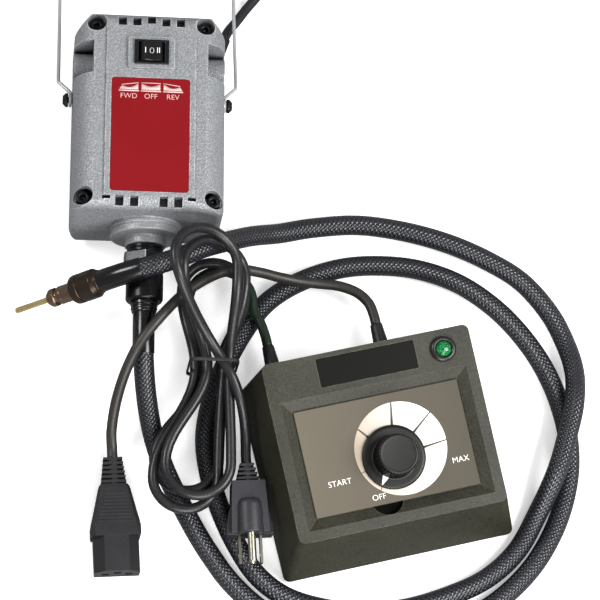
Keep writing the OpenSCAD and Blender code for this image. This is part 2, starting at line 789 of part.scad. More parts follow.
bail_turn = bail_arm_x - bail_corner_r;
bail_path = concat(
    [[-bail_eye_x, 0, 3.6], [-bail_eye_x, 0, 6], [-bail_arm_x + 1, 0, 13.5], [-bail_arm_x, 0, 16],
        [-bail_arm_x, 0, 50], [-bail_arm_x, 0, bail_len - bail_corner_r - 6]],
    [for (a = [180:-15:90]) [-bail_turn + bail_corner_r * cos(a), 0,
        bail_len - bail_corner_r + bail_corner_r * sin(a)]],
    [[-11, 0, bail_len], [-7.5, 0, bail_len - 1.5]],
    [for (a = [200:-20:-20]) [7 * cos(a), 0, bail_len - 1 + 0.5 * 7 * (sin(a) - sin(200))]],
    [[7.5, 0, bail_len - 1.5], [11, 0, bail_len]],
    [for (a = [90:-15:0]) [bail_turn + bail_corner_r * cos(a), 0,
        bail_len - bail_corner_r + bail_corner_r * sin(a)]],
    [[bail_arm_x, 0, bail_len - bail_corner_r - 6], [bail_arm_x, 0, 50], [bail_arm_x, 0, 16],
        [bail_arm_x - 1, 0, 13.5], [bail_eye_x, 0, 6], [bail_eye_x, 0, 3.6]]
);

module flat_tube(path, d, sides) {
    last = len(path) - 1;
    points = [for (i = [0:last]) let (dir = heading(path, i), side = [dir[2], 0, -dir[0]])
        each [for (k = [0:sides - 1]) let (a = 360 * (k + 0.5) / sides)
            path[i] + d / 2 * (cos(a) * side + sin(a) * [0, 1, 0])]];
    walls = [for (i = [0:last - 1], k = [0:sides - 1]) let (
        a = i * sides + k, b = i * sides + (k + 1) % sides, c = a + sides, e = b + sides)
        each [[a, e, b], [a, c, e]]];
    first_cap = [for (k = [1:sides - 2]) [0, k, k + 1]];
    last_cap = [for (k = [1:sides - 2]) [last * sides, last * sides + k + 1, last * sides + k]];
    polyhedron(points, concat(walls, first_cap, last_cap), convexity = 10);
}

module bail() {
    color("#c4c7ca") bail_place() {
        flat_tube(bail_path, bail_wire_d, 8);
        each_side() difference() {
            along_x(bail_eye_x - bail_wire_d / 2, bail_eye_x + bail_wire_d / 2, 2 * bail_eye_r);
            along_x(bail_eye_x - 4, bail_eye_x + 4, bail_screw_d + 0.5);
        }
    }
}

module bail_screws() {
    head_x = bail_eye_x + bail_wire_d / 2 + 0.2;
    color("#1b1b1c") motor_place() each_side() translate([0, 0, bail_pivot_h]) {
        along_x(motor_w / 2 - 8, head_x + 0.5, bail_screw_d - 0.1);
        translate([head_x, 0, 0]) rotate([0, 90, 0]) difference() {
            union() {
                cylinder(d = 8.6, h = 1.6);
                translate([0, 0, 1.6]) cylinder(d1 = 8.6, d2 = 5, h = 1.8);
            }
            translate([0, 0, 3]) cube([1.2, 10, 2.4], center = true);
        }
    }
}

// ---- cord of the motor ----

relief_at = [motor_x + motor_w / 2 - 5, motor_y + motor_h - 6.5, 12];
relief_dir = [0.42, 0.9, -0.15];
relief_len = 20;
relief_d = 11;
relief_tip = relief_at + relief_len * unit(relief_dir);

module motor_cord_relief() {
    color("#19191a") aim(relief_at, relief_dir) {
        translate([0, 0, -2]) cylinder(d = relief_d, h = 8);
        translate([0, 0, 5]) cylinder(d1 = relief_d, d2 = cord_d + 1.6, h = relief_len - 5);
        for (z = [7:3.5:14]) translate([0, 0, z]) cylinder(d = 11.8 - 0.2 * z, h = 1.6);
    }
}

function coil_point(n) =
    let (turn = n / coil_steps, mid = coil_turns / 2, a = coil_start - 360 * turn,
        r = coil_r + coil_pitch * abs(turn - mid))
    [coil_at[0] + r * cos(a), coil_at[1] + r * sin(a),
        cord_d / 2 + 0.1 + coil_climb * smooth((turn - mid) * 2 + 0.5)];
coil_in_dir = [0, 1, 0];
coil_end_dir = [1, 0, 0];
coil_turned = coil_turns * coil_steps;
coil_end = coil_point(coil_turned) + cord_d * coil_end_dir;
coil_path = concat([coil_point(0) - cord_d * coil_in_dir],
    [for (n = [0:coil_turned]) coil_point(n)], [coil_end]);

echo(hank_gap = least_gap(hank_path, cord_d, 4), coil_gap = least_gap(coil_path, cord_d, 6));

module motor_cord() {
    start = coil_path[0];
    route = concat([relief_tip, relief_tip + cord_d * unit(relief_dir)],
        motor_cord_points, [start - cord_d * coil_in_dir, start]);
    color("#2a2b2e") tube(route, cord_d, 8, relief_dir, coil_in_dir);
}

module motor_cord_coil() {
    color("#2a2b2e") tube(coil_path, cord_d, 6, coil_in_dir, coil_end_dir);
}

module coil_tie() {
    mid_r = coil_r + coil_pitch * coil_turns / 4;
    tie_w = coil_pitch * (coil_turns / 2 + 1.2);
    color("#0f0f10") translate([coil_at[0] + mid_r, coil_at[1], coil_pitch])
        rotate([90, 0, 0]) linear_extrude(3, center = true) difference() {
            square([tie_w + 2, 2 * coil_pitch + 1.4], center = true);
            square([tie_w, 2 * coil_pitch - 0.2], center = true);
        }
}

// ---- moulded plugs, drawn along Z from the cord end; local Y is their width ----

module plug_relief(d, ribs, len) {
    cylinder(d1 = d + 1.4, d2 = d + 4.6, h = len);
    for (i = [0:ribs - 1]) translate([0, 0, 1 + i * (len - 3) / ribs])
        cylinder(d = d + 4 + 2.4 * i / ribs, h = (len - 3) / ribs * 0.55);
}

module plug_hull(d, z0, z1, h, w) {
    hull() {
        translate([0, 0, z0]) cylinder(d = d, h = 1, $fn = 32);
        for (x = [-1, 1], y = [-1, 1]) translate([x * (h / 2 - 4), y * (w / 2 - 4), z1 - 1])
            cylinder(r = 4, h = 1, $fn = 32);
    }
}

module iec_body(d) {
    plug_relief(d, 5, iec_relief);
    plug_hull(d + 5, iec_relief - 1, iec_relief + iec_taper, iec_h, iec_w);
}

module motor_plug_body() {
    front = iec_relief + iec_taper;
    color("#151516") aim(coil_end, coil_end_dir) difference() {
        union() {
            plug_relief(cord_d, 5, iec_relief);
            plug_hull(cord_d + 5, iec_relief - 1, front, iec_h, iec_w);
            translate([0, 0, front]) linear_extrude(iec_front) round_rect(iec_h, iec_w, 3);
        }
        translate([0, 0, front + 2]) linear_extrude(iec_front) round_rect(iec_h - 3, iec_w - 3, 2);
    }
}

module motor_plug_pins() {
    front = iec_relief + iec_taper;
    color("#c9ccd0") aim(coil_end, coil_end_dir)
        for (p = [[2, -7], [2, 7], [-2, 0]])
            translate([p[0] - 2, p[1] - 1, front + 2]) cube([4, 2, iec_front - 3]);
}

module outlet_connector() {
    front = iec_relief + iec_taper;
    color("#18181a") aim(outlet_end, outlet_dir) difference() {
        union() {
            iec_body(outlet_cord_d);
            translate([0, 0, front - 12]) intersection() {
                for (i = [0:7]) translate([0, 0, i * 1.6]) linear_extrude(0.8)
                    round_rect(iec_h + 0.5, iec_w + 0.8 - (7 - i) * 1.6, 3);
                cube([iec_h - 1, 60, 40], center = true);
            }
            translate([0, 0, front]) linear_extrude(iec_front) round_rect(iec_h, iec_w, 2.5);
        }
        for (p = [[2, -7], [2, 7], [-2, 0]])
            translate([p[0] - 2.4, p[1] - 1.3, front + iec_front - 14]) cube([4.8, 2.6, 15]);
    }
}

module mains_plug_body() {
    color("#18181a") aim(plug_end, plug_dir) difference() {
        union() {
            plug_relief(cord_d, 4, plug_relief_len);
            plug_hull(cord_d + 5.5, plug_relief_len - 1, plug_relief_len + 14, 17, 17);
            plug_hull(17, plug_relief_len + 10, plug_face - 4, 22, 26);
            translate([-1, 0, plug_face - 5]) linear_extrude(5) round_rect(24, 28, 6);
        }
        for (side = [-1, 1]) translate([1, side * 19, plug_relief_len + 20])
            rotate([0, 90, 0]) cylinder(d = 18, h = 40, center = true);
    }
}

module mains_plug_prongs() {
    color("#c8a86a") aim(plug_end, plug_dir) translate([0, 0, plug_face]) {
        for (side = [-1, 1]) difference() {
            translate([blade_x - 3.175, side * 6.35 - 0.76, 0]) cube([6.35, 1.52, 16.5]);
            translate([blade_x, side * 6.35, 12]) rotate([90, 0, 0])
                cylinder(d = 3.2, h = 4, center = true);
        }
        translate([blade_x - 11.9, 0, 0]) {
            cylinder(d = ground_d, h = 17);
            translate([0, 0, 17]) cylinder(d1 = ground_d, d2 = ground_d / 2, h = 2);
        }
    }
}

// ---- flexible shaft ----

module flex_sheath() {
    route = concat([sheath_start], sheath_points, [sheath_end]);
    color("#26272a") tube(route, sheath_d, 12, [0, -1, 0], tip_dir);
}

module sheath_ferrule() {
    color("#1a1a1c") aim(sheath_end, tip_dir) difference() {
        union() {
            cylinder(d1 = sheath_d + 1.2, d2 = ferrule_d, h = 2.5);
            translate([0, 0, 2.5]) cylinder(d = ferrule_d, h = ferrule_len - 4.5);
            translate([0, 0, ferrule_len - 2]) cylinder(d1 = ferrule_d, d2 = ferrule_d - 2.6, h = 2);
        }
        translate([0, 0, ferrule_len - 7]) difference() {
            cylinder(d = ferrule_d + 2, h = 1);
            cylinder(d = ferrule_d - 1.2, h = 1);
        }
        translate([0, 0, -1]) cylinder(d = 7, h = ferrule_len + 2);
    }
}

module snap_connector() {
    groove = 2.2;
    ring = 4.6;
    lip = 1.8;
    body = connector_len - groove - ring - lip;
    color("#4a372a") aim(sheath_end, tip_dir) translate([0, 0, ferrule_len]) difference() {
        union() {
            cylinder(d = connector_d, h = body);
            translate([0, 0, body]) cylinder(d = connector_d - 3.2, h = groove);
            translate([0, 0, body + groove]) cylinder(d = connector_d, h = ring);
            translate([0, 0, body + groove + ring])
                cylinder(d1 = connector_d - 1.5, d2 = connector_d - 3.5, h = lip);
        }
        translate([0, 0, -1]) cylinder(d = tip_stem_d + 2 * run_fit, h = connector_len + 2);
    }
}

module key_tip() {
    tip_z = ferrule_len + connector_len;
    color("#c9a64e") aim(sheath_end, tip_dir) difference() {
        union() {
            translate([0, 0, ferrule_len + 1]) cylinder(d = tip_stem_d, h = connector_len);
            translate([0, 0, tip_z + fit]) cylinder(d = tip_d, h = tip_len - fit - 1);
            translate([0, 0, tip_z + tip_len - 1]) cylinder(d1 = tip_d, d2 = tip_d - 1, h = 1);
        }
        for (side = [-1, 1]) translate([side * (tip_d / 2 + 0.4), 0, tip_z + tip_len - 4])
            cube([2, 6, 9], center = true);
    }
}

// ---- speed control, drawn square: width along X, rear toward +Y ----

module case_frame() {
    translate([case_x, case_y, 0]) rotate(case_turn) children();
}

// origin at the middle of the face, X to the right, Y up the slope, Z out of the face
module face_frame() {
    case_frame() translate([0, -case_d / 2 + front_lean, case_front_h]) rotate([face_tilt, 0, 0])
        translate([0, face_len / 2, 0]) children();
}

module case_block(inset, z0, drop) {
    r = corner_r - inset / 2;
    hull() {
        for (x = [-1, 1], y = [-1, 1])
            translate([x * (case_w / 2 - inset - r), y * (case_d / 2 - inset - r), z0])
                cylinder(r = r, h = 1, $fn = 32);
        translate([0, -case_d / 2 + front_lean, case_front_h]) rotate([face_tilt, 0, 0])
            for (x = [-1, 1], y = [inset + r, face_len - inset - r])
                translate([x * (face_w / 2 - inset - r), y, -drop - 1])
                    cylinder(r = r, h = 1, $fn = 32);
    }
}

module base_spots() {
    for (x = [-1, 1], y = [-1, 1]) translate([x * (case_w / 2 - 15), y * (case_d / 2 - 15), 0])
        children();
}

module face_cuts() {
    // bevelled recess of the panel
    translate([panel_cx, panel_cy, 0]) hull() {
        translate([0, 0, 0]) cube([panel_w + 14, panel_h + 14, 0.02], center = true);
        translate([0, 0, -recess_depth]) cube([panel_w + 0.6, panel_h + 0.6, 0.02], center = true);
    }
    // thumb notch at the front of the recess
    translate([notch_x, notch_cy, -recess_depth - 2.2]) cylinder(r = notch_r, h = 14);
    // way for the control shaft, the pilot light and the name plate
    translate([dial_cx, dial_cy, -20]) cylinder(d = pot_hole_d, h = 30);
    translate([pilot_x, pilot_y, -20]) cylinder(d = pilot_d - 4, h = 30);
    translate([name_x, name_y, -1]) linear_extrude(4) round_rect(name_w + 0.4, name_h + 0.4, 1);
}

module control_case() {
    color("#3c3b30") {
        difference() {
            case_frame() union() {
                difference() {
                    case_block(0, case_z0, 0);
                    case_block(case_wall, case_z0 - 1.5, case_wall + recess_depth);
                }
                intersection() {
                    base_spots() translate([0, 0, case_z0 + base_t]) cylinder(d = 9, h = case_rear_h);
                    case_block(1, case_z0, 1);
                }
            }
            face_frame() face_cuts();
            case_frame() {
                base_spots() cylinder(d = 3, h = case_z0 + base_t + 14);
                for (u = [mains_gland_u, outlet_gland_u])
                    translate([u, case_d / 2 - 12, gland_z]) rotate([-90, 0, 0]) cylinder(d = 9, h = 20);
            }
        }
    }
}

module control_base() {
    color("#2c2c26") case_frame() difference() {
        union() {
            translate([0, 0, case_z0]) linear_extrude(base_t)
                round_rect(case_w - 2 * case_wall - 2.6, case_d - 2 * case_wall - 2.8, 3);
            for (x = [-1, 1], y = [-1, 1]) translate([x * 36, y * 24 + 4, case_z0])
                cylinder(d = 7, h = board_z - case_z0);
        }
        base_spots() translate([0, 0, -1]) cylinder(d = 4, h = 20);
        for (i = [-3:3]) translate([i * 9, -38, case_z0 - 1]) linear_extrude(base_t + 2)
            round_rect(3, 16, 1.4);
    }
}

module rubber_feet() {
    color("#171717") case_frame() base_spots() difference() {
        cylinder(d1 = foot_d - 2, d2 = foot_d, h = foot_h);
        translate([0, 0, -1]) cylinder(d = 7, h = foot_h);
        translate([0, 0, -1]) cylinder(d = 4, h = foot_h + 2);
    }
}

module base_screws() {
    color("#8d9094") case_frame() base_spots() difference() {
        union() {
            translate([0, 0, foot_h - 1.5]) cylinder(d = 2.9, h = base_t + 13.5);
            translate([0, 0, foot_h - 1.95]) cylinder(d1 = 6.4, d2 = 5.4, h = 0.9);
        }
        translate([0, 0, foot_h - 2]) cube([1, 4.4, 1.6], center = true);
        translate([0, 0, foot_h - 2]) cube([4.4, 1, 1.6], center = true);
    }
}

module control_panel() {
    color("#7d7668") face_frame() translate([panel_cx, panel_cy, -recess_depth]) difference() {
        linear_extrude(panel_t) round_rect(panel_w, panel_h, 0.8);
        translate([dial_cx - panel_cx, dial_cy - panel_cy, -1]) cylinder(d = pot_hole_d, h = 4);
    }
}

module name_plate() {
    color("#15161a") face_frame() translate([name_x, name_y, -1]) linear_extrude(0.8)
        round_rect(name_w, name_h, 0.8);
}

module dial_place() {
    face_frame() translate([dial_cx, dial_cy, panel_t - recess_depth]) children();
}

module dial_knob() {
    skirt_t = 2.4;
    lift = 0.5;
    ribs = 36;
    color("#131314") dial_place() difference() {
        union() {
            translate([0, 0, lift]) cylinder(d = knob_d, h = skirt_t - 0.8);
            translate([0, 0, lift + skirt_t - 0.8]) cylinder(d1 = knob_d, d2 = knob_d - 3, h = 0.8);
            translate([0, 0, lift + skirt_t])
                cylinder(d1 = grip_d + 1.6, d2 = grip_d, h = knob_h - skirt_t - 1.5);
            translate([0, 0, lift + knob_h - 1.5]) cylinder(d1 = grip_d, d2 = grip_d - 3, h = 1.5);
        }
        for (i = [0:ribs - 1]) rotate(i * 360 / ribs)
            translate([grip_d / 2 + 0.75, 0, lift + skirt_t + 1]) cylinder(d = 1.2, h = knob_h, $fn = 16);
        translate([0, 0, -1]) cylinder(d = 17, h = 5.5);
        translate([0, 0, -1]) cylinder(d = pot_shaft_d + 2 * run_fit, h = knob_h - 3);
    }
}

module pot_shaft() {
    color("#b9bcc0") dial_place() translate([0, 0, -pot_depth])
        cylinder(d = pot_shaft_d, h = pot_depth + knob_h - 4.5);
}

module pot_body() {
    color("#4d5257") dial_place() difference() {
        union() {
            translate([0, 0, -pot_depth - 9]) cylinder(d = 24, h = 9);
            translate([0, 0, -pot_depth]) cylinder(d = pot_hole_d - 0.1, h = pot_depth + 3);
            for (x = [-5, 0, 5]) translate([x - 0.6, -17, -pot_depth - 5]) cube([1.2, 8, 0.8]);
        }
        translate([0, 0, -pot_depth - 4]) cylinder(d = pot_shaft_d + 2 * run_fit, h = 40);
    }
}

module pot_nut() {
    color("#b0a070") dial_place() difference() {
        cylinder(d = 13.5, h = 2.2, $fn = 6);
        translate([0, 0, -1]) cylinder(d = pot_hole_d - 0.1, h = 5);
    }
}

module circuit_board() {
    color("#2f6b3c") case_frame() {
        translate([0, 4, board_z]) linear_extrude(1.6) square([84, 60], center = true);
    }
    color("#8a5a33") case_frame() {
        translate([24, 18, board_z + 1.6]) cylinder(d = 14, h = 8);
        translate([-30, -12, board_z + 1.6]) cube([16, 6, 9]);
        translate([-30, 8, board_z + 1.6]) cube([12, 10, 7]);
    }
}

module power_triac() {
    color("#9ea1a5") case_frame() translate([4, -14, board_z + 1.6]) {
        for (x = [0:3:18]) translate([x, 0, 2]) cube([1.2, 12, 10]);
        translate([0, 0, 0]) cube([19.2, 12, 2]);
        translate([5.2, -4, 0.5]) cube([9.4, 4.6, 10]);
    }
}

module pilot_bezel() {
    color("#17261c") face_frame() translate([pilot_x, pilot_y, 0]) difference() {
        union() {
            cylinder(d = pilot_d, h = 1.4);
            translate([0, 0, 1.4]) cylinder(d1 = pilot_d, d2 = pilot_d - 2.4, h = 1.4);
            translate([0, 0, -12]) cylinder(d = pilot_d - 4.1, h = 12.5);
        }
        translate([0, 0, -8]) cylinder(d = pilot_d - 6, h = 20);
    }
}

module pilot_lens() {
    lens_d = pilot_d - 6.05;
    color("#1d9450") face_frame() translate([pilot_x, pilot_y, -8]) {
        cylinder(d = lens_d, h = 10.4);
        translate([0, 0, 10.4]) intersection() {
            translate([0, 0, 3.2 - lens_d]) sphere(r = lens_d);
            cylinder(d = lens_d, h = 6);
        }
    }
}

module gland(u, d) {
    translate([u, case_d / 2 - case_wall - 3, gland_z]) rotate([-90, 0, 0]) {
        translate([0, 0, 0]) cylinder(d = 12.5, h = 2.6);
        translate([0, 0, 2]) cylinder(d = 8.9, h = case_wall + 4);
        translate([0, 0, case_wall + 3]) cylinder(d1 = 11, d2 = d + 1.2, h = gland_len);
    }
}

module cord_glands() {
    color("#1d1e1c") case_frame() {
        gland(mains_gland_u, cord_d);
        gland(outlet_gland_u, outlet_cord_d);
    }
}

// ---- cords of the control ----

module outlet_cord() {
    route = concat([outlet_start, outlet_start + outlet_cord_d * rear_dir], outlet_points,
        [outlet_end - outlet_cord_d * unit(outlet_dir), outlet_end]);
    color("#4a4540") tube(route, outlet_cord_d, 8, rear_dir, outlet_dir);
}

module mains_cord() {
    start = hank_path[0];
    way = unit(hank_path[1] - hank_path[0]);
    route = concat([mains_start, mains_start + cord_d * rear_dir], mains_points,
        [start - cord_d * way, start]);
    color("#2c3a2c") tube(route, cord_d, 8, rear_dir, way);
}

module plug_cord() {
    last = len(hank_path) - 1;
    start = hank_path[last];
    way = unit(hank_path[last] - hank_path[last - 1]);
    route = concat([start, start + cord_d * way], plug_points,
        [plug_end - cord_d * unit(plug_dir), plug_end]);
    color("#2b2b2e") tube(route, cord_d, 8, way, plug_dir);
}

module mains_hank() {
    last = len(hank_path) - 1;
    color("#2f2f30") tube(hank_path, cord_d, 6, hank_path[1] - hank_path[0],
        hank_path[last] - hank_path[last - 1]);
}

module hank_tie() {
    lo = hank_z - cord_d / 2 - 0.4;
    hi = hank_z + 3 * hank_pitch + hank_last_rise + cord_d / 2 + 2.6;
    w = 2 * hank_half + 2 * cord_d + 2.4;
    color("#111112") translate([hank_waist[0] + 0.5, hank_waist[1], (lo + hi) / 2])
        rotate([90, 0, 0]) linear_extrude(2.2, center = true) difference() {
            round_rect(w + 2.4, hi - lo + 2.4, 6);
            round_rect(w, hi - lo, 5);
        }
}

front_housing();
rear_housing();
shell_screws();
label_plate();
switch_body();
rocker();
brush_holders();
carbon_brushes();
brush_springs();
brush_caps();
field_core();
field_coils();
armature_shaft();
armature_core();
armature_windings();
commutator();
cooling_fan();
upper_bearing();
lower_bearing();
end_flange();
lock_washer();
hex_nut();
connector_sleeve();
sheath_ring();
bail();
bail_screws();
motor_cord_relief();
motor_cord();
motor_cord_coil();
coil_tie();
motor_plug_body();
motor_plug_pins();
flex_sheath();
sheath_ferrule();
snap_connector();
key_tip();
control_case();
control_base();
rubber_feet();
base_screws();
control_panel();
name_plate();
dial_knob();
pot_shaft();
pot_body();
pot_nut();
circuit_board();
power_triac();
pilot_bezel();
pilot_lens();
cord_glands();
mains_cord();
mains_hank();
hank_tie();
plug_cord();
mains_plug_body();
mains_plug_prongs();
outlet_cord();
outlet_connector();
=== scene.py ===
import math

import bmesh
import bpy
from mathutils import Matrix, Vector


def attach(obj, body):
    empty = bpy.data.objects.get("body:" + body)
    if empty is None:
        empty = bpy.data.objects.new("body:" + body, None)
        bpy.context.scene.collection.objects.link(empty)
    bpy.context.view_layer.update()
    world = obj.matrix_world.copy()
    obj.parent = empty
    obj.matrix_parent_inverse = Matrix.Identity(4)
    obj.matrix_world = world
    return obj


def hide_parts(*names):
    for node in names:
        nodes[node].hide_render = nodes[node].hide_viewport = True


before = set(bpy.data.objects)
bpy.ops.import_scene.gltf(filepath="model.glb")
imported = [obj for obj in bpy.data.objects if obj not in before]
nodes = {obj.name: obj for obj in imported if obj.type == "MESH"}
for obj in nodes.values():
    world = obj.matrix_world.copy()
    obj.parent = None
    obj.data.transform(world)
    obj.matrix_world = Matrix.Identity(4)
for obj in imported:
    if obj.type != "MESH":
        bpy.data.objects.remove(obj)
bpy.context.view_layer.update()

deg = math.radians
mm = 0.001


def placed(name, data):
    made = bpy.data.objects.new(name, data)
    bpy.context.scene.collection.objects.link(made)
    return made


# camera: high above the table, turned a little to the left
cameraLook = {"azimuth": -20, "elevation": 72, "distance": 1.7, "target": (0.0125, -0.0175, 0), "width": 0.372,
              "sensor": 36, "reach": 20}


def makeCamera(look):
    data = bpy.data.cameras.new("cameraAbove")
    data.sensor_width = look["sensor"]
    data.lens = look["sensor"] * look["distance"] / look["width"]
    data.clip_end = look["reach"]
    camera = placed("cameraAbove", data)
    azimuth, elevation = deg(look["azimuth"]), deg(look["elevation"])
    back = Vector((math.sin(azimuth) * math.cos(elevation), -math.cos(azimuth) * math.cos(elevation),
                   math.sin(elevation)))
    up = (Vector((0, 1, 0)) - back.y * back).normalized()
    turned = Matrix((up.cross(back), up, back)).transposed().to_4x4()
    camera.matrix_world = Matrix.Translation(Vector(look["target"]) + look["distance"] * back) @ turned
    bpy.context.scene.camera = camera


makeCamera(cameraLook)
print("camera ready")


# frames and meshes; lengths are in millimetres until a mesh is written
def frameAt(*steps):
    made = Matrix.Identity(4)
    for step in steps:
        made = made @ step
    return made


def shift(x, y, z):
    return Matrix.Translation((x, y, z))


def turn(axis, angle):
    return Matrix.Rotation(deg(angle), 4, axis)


def aimed(at, direction):
    # local Z along the direction, local Y level
    u = Vector(direction).normalized()
    return frameAt(shift(*at), Matrix.Rotation(math.atan2(u.y, u.x), 4, "Z"),
                   Matrix.Rotation(math.acos(u.z), 4, "Y"))


def mixed(a, b, t):
    return a + (b - a) * t


faceRise = {"deep": 107.5, "high": 14, "front": -48, "frontHeight": 46}
motorFrame = frameAt(shift(-86, 14.5, 37), turn("X", -90))
caseFrame = frameAt(shift(58.5, -120, 0), turn("Z", 13.6))
faceTilt = math.degrees(math.atan(faceRise["high"] / faceRise["deep"]))
faceLength = faceRise["deep"] / math.cos(deg(faceTilt))
faceFrame = frameAt(caseFrame, shift(0, faceRise["front"], faceRise["frontHeight"]), turn("X", faceTilt),
                    shift(0, faceLength / 2, 0))
dialFrame = frameAt(faceFrame, shift(2.5, -15, -2.8))


def meshPiece(name, points, faces, smooth=True):
    mesh = bpy.data.meshes.new(name)
    mesh.from_pydata([Vector(p) * mm for p in points], [], faces)
    mesh.update()
    for polygon in mesh.polygons:
        polygon.use_smooth = smooth
    return placed(name, mesh)


def closedPiece(name, points, faces, smooth=True):
    # a mesh with its doubles merged and all its faces turned outward
    piece = meshPiece(name, points, faces, smooth)
    shape = bmesh.new()
    shape.from_mesh(piece.data)
    bmesh.ops.remove_doubles(shape, verts=shape.verts, dist=1e-6)
    bmesh.ops.recalc_face_normals(shape, faces=shape.faces)
    shape.to_mesh(piece.data)
    shape.free()
    return piece


def ringFaces(count, first, last):
    # quads between neighbouring rings of points
    return [(i * count + k, i * count + (k + 1) % count, (i + 1) * count + (k + 1) % count, (i + 1) * count + k)
            for i in range(first, last) for k in range(count)]


def capFaces(count, last):
    return [tuple(reversed(range(count))), tuple(range(last * count, (last + 1) * count))]


def addBevel(piece, width, segments=3, angle=32):
    bevel = piece.modifiers.new("edges", "BEVEL")
    bevel.width = width * mm
    bevel.segments = segments
    bevel.limit_method = "ANGLE"
    bevel.angle_limit = deg(angle)
    bevel.miter_outer = "MITER_ARC"
    weighted = piece.modifiers.new("shading", "WEIGHTED_NORMAL")
    weighted.keep_sharp = True
    return piece


def soften(node, width, segments=2, angle=32):
    # rounds the edges of a node that keeps its own shape
    weld = node.modifiers.new("weld", "WELD")
    weld.merge_threshold = 0.01 * mm
    flat = node.modifiers.new("flat", "DECIMATE")
    flat.decimate_type = "DISSOLVE"
    flat.angle_limit = deg(1)
    return addBevel(node, width, segments, angle)


def circlePoints(radius, count, high=None):
    # a closed line round the origin; high is its half height where it isn't round
    return [(radius * math.cos(2 * math.pi * k / count), (high or radius) * math.sin(2 * math.pi * k / count))
            for k in range(count + 1)]


def hexShape(angle):
    part = math.pi / 3
    return 1 / math.cos((angle + part / 2) % part - part / 2)


def cutHex(limit):
    # a hexagon whose corners are turned off
    return lambda angle: min(hexShape(angle), limit)


def waved(depth, count, base=0):
    return lambda angle: 1 + depth * (base + math.cos(count * angle))


def turnedPiece(name, profile, where, sides=72):
    # profile rows: radius, height and, where the ring isn't round, a function of the angle; rings on the axis
    # shrink to one point when the doubles merge
    points, last = [], len(profile) - 1
    for radius, height, *shape in profile:
        for k in range(sides):
            angle = 2 * math.pi * k / sides
            r = radius * (shape[0](angle) if shape else 1)
            points.append(where @ Vector((r * math.cos(angle), r * math.sin(angle), height)))
    caps = [cap for cap, row in zip(capFaces(sides, last), (profile[0], profile[-1])) if row[0] > 0]
    return closedPiece(name, points, ringFaces(sides, 0, last) + caps)


def smoothLine(points, step):
    # a curve through all the points, then evenly spaced
    p = [Vector(q) for q in points]
    fine = []
    for i in range(len(p) - 1):
        a, b, c, d = p[max(i - 1, 0)], p[i], p[i + 1], p[min(i + 2, len(p) - 1)]
        count = max(2, math.ceil((c - b).length / step))
        for k in range(count):
            t = k / count
            fine.append(0.5 * (2 * b + (c - a) * t + (2 * a - 5 * b + 4 * c - d) * t * t
                               + (3 * b - a - 3 * c + d) * t ** 3))
    fine.append(p[-1])
    return fine


def tubePiece(name, line, radius, sides=16, lowest=-math.inf):
    line = [Vector((q[0], q[1], max(q[2], lowest))) for q in line]
    ways = [(line[min(i + 1, len(line) - 1)] - line[max(i - 1, 0)]).normalized() for i in range(len(line))]
    along = [0]
    for a, b in zip(line, line[1:]):
        along.append(along[-1] + (b - a).length)
    side = ways[0].orthogonal().normalized()
    points = []
    for q, way in zip(line, ways):
        side = (side - side.dot(way) * way).normalized()
        high = way.cross(side)
        for k in range(sides):
            angle = 2 * math.pi * k / sides
            points.append(q + radius * (math.cos(angle) * side + math.sin(angle) * high))
    last = len(line) - 1
    piece = meshPiece(name, points, ringFaces(sides, 0, last) + capFaces(sides, last))
    # the layer gives the share round the tube and the metres along it
    layer = piece.data.uv_layers.new(name="run")
    spots = [((k + out) / sides, along[i + far] * mm) for i in range(last) for k in range(sides)
             for out, far in ((0, 0), (1, 0), (1, 1), (0, 1))]
    for corner, spot in zip(layer.data, spots):
        corner.uv = spot
    return piece, [q * mm for q in line]


def joined(name, pieces, smooth=True):
    base = bmesh.new()
    for piece in pieces:
        base.from_mesh(piece.data)
        bpy.data.objects.remove(piece)
    mesh = bpy.data.meshes.new(name)
    base.to_mesh(mesh)
    base.free()
    for polygon in mesh.polygons:
        polygon.use_smooth = smooth
    return placed(name, mesh)


def flatPiece(name, outline, where, height, lift=0):
    # a thin plate from an outline in the local XY plane
    n = len(outline)
    points = [where @ Vector((x, y, z)) for z in (lift, lift + height) for x, y in outline]
    return closedPiece(name, points, capFaces(n, 1) + ringFaces(n, 0, 1), smooth=False)


def wordPiece(name, words, size, where, height=0.12, bold=0.0):
    curve = bpy.data.curves.new(name, "FONT")
    curve.body = words
    curve.size = size
    curve.align_x, curve.align_y = "CENTER", "CENTER"
    curve.extrude = height / 2
    curve.offset = bold
    curve.resolution_u = 4
    holder = placed(name + "Curve", curve)
    bpy.context.view_layer.update()
    mesh = bpy.data.meshes.new_from_object(holder.evaluated_get(bpy.context.evaluated_depsgraph_get()))
    bpy.data.objects.remove(holder)
    mesh.transform(Matrix.Scale(mm, 4) @ where)
    mesh.name = name
    return placed(name, mesh)


# routes of the hose and the cords, the same points as in the part
cordSize = {"mains": 6.2, "outlet": 6.4, "hose": 12.4}
rearWay = caseFrame.to_3x3() @ Vector((0, 1, 0))

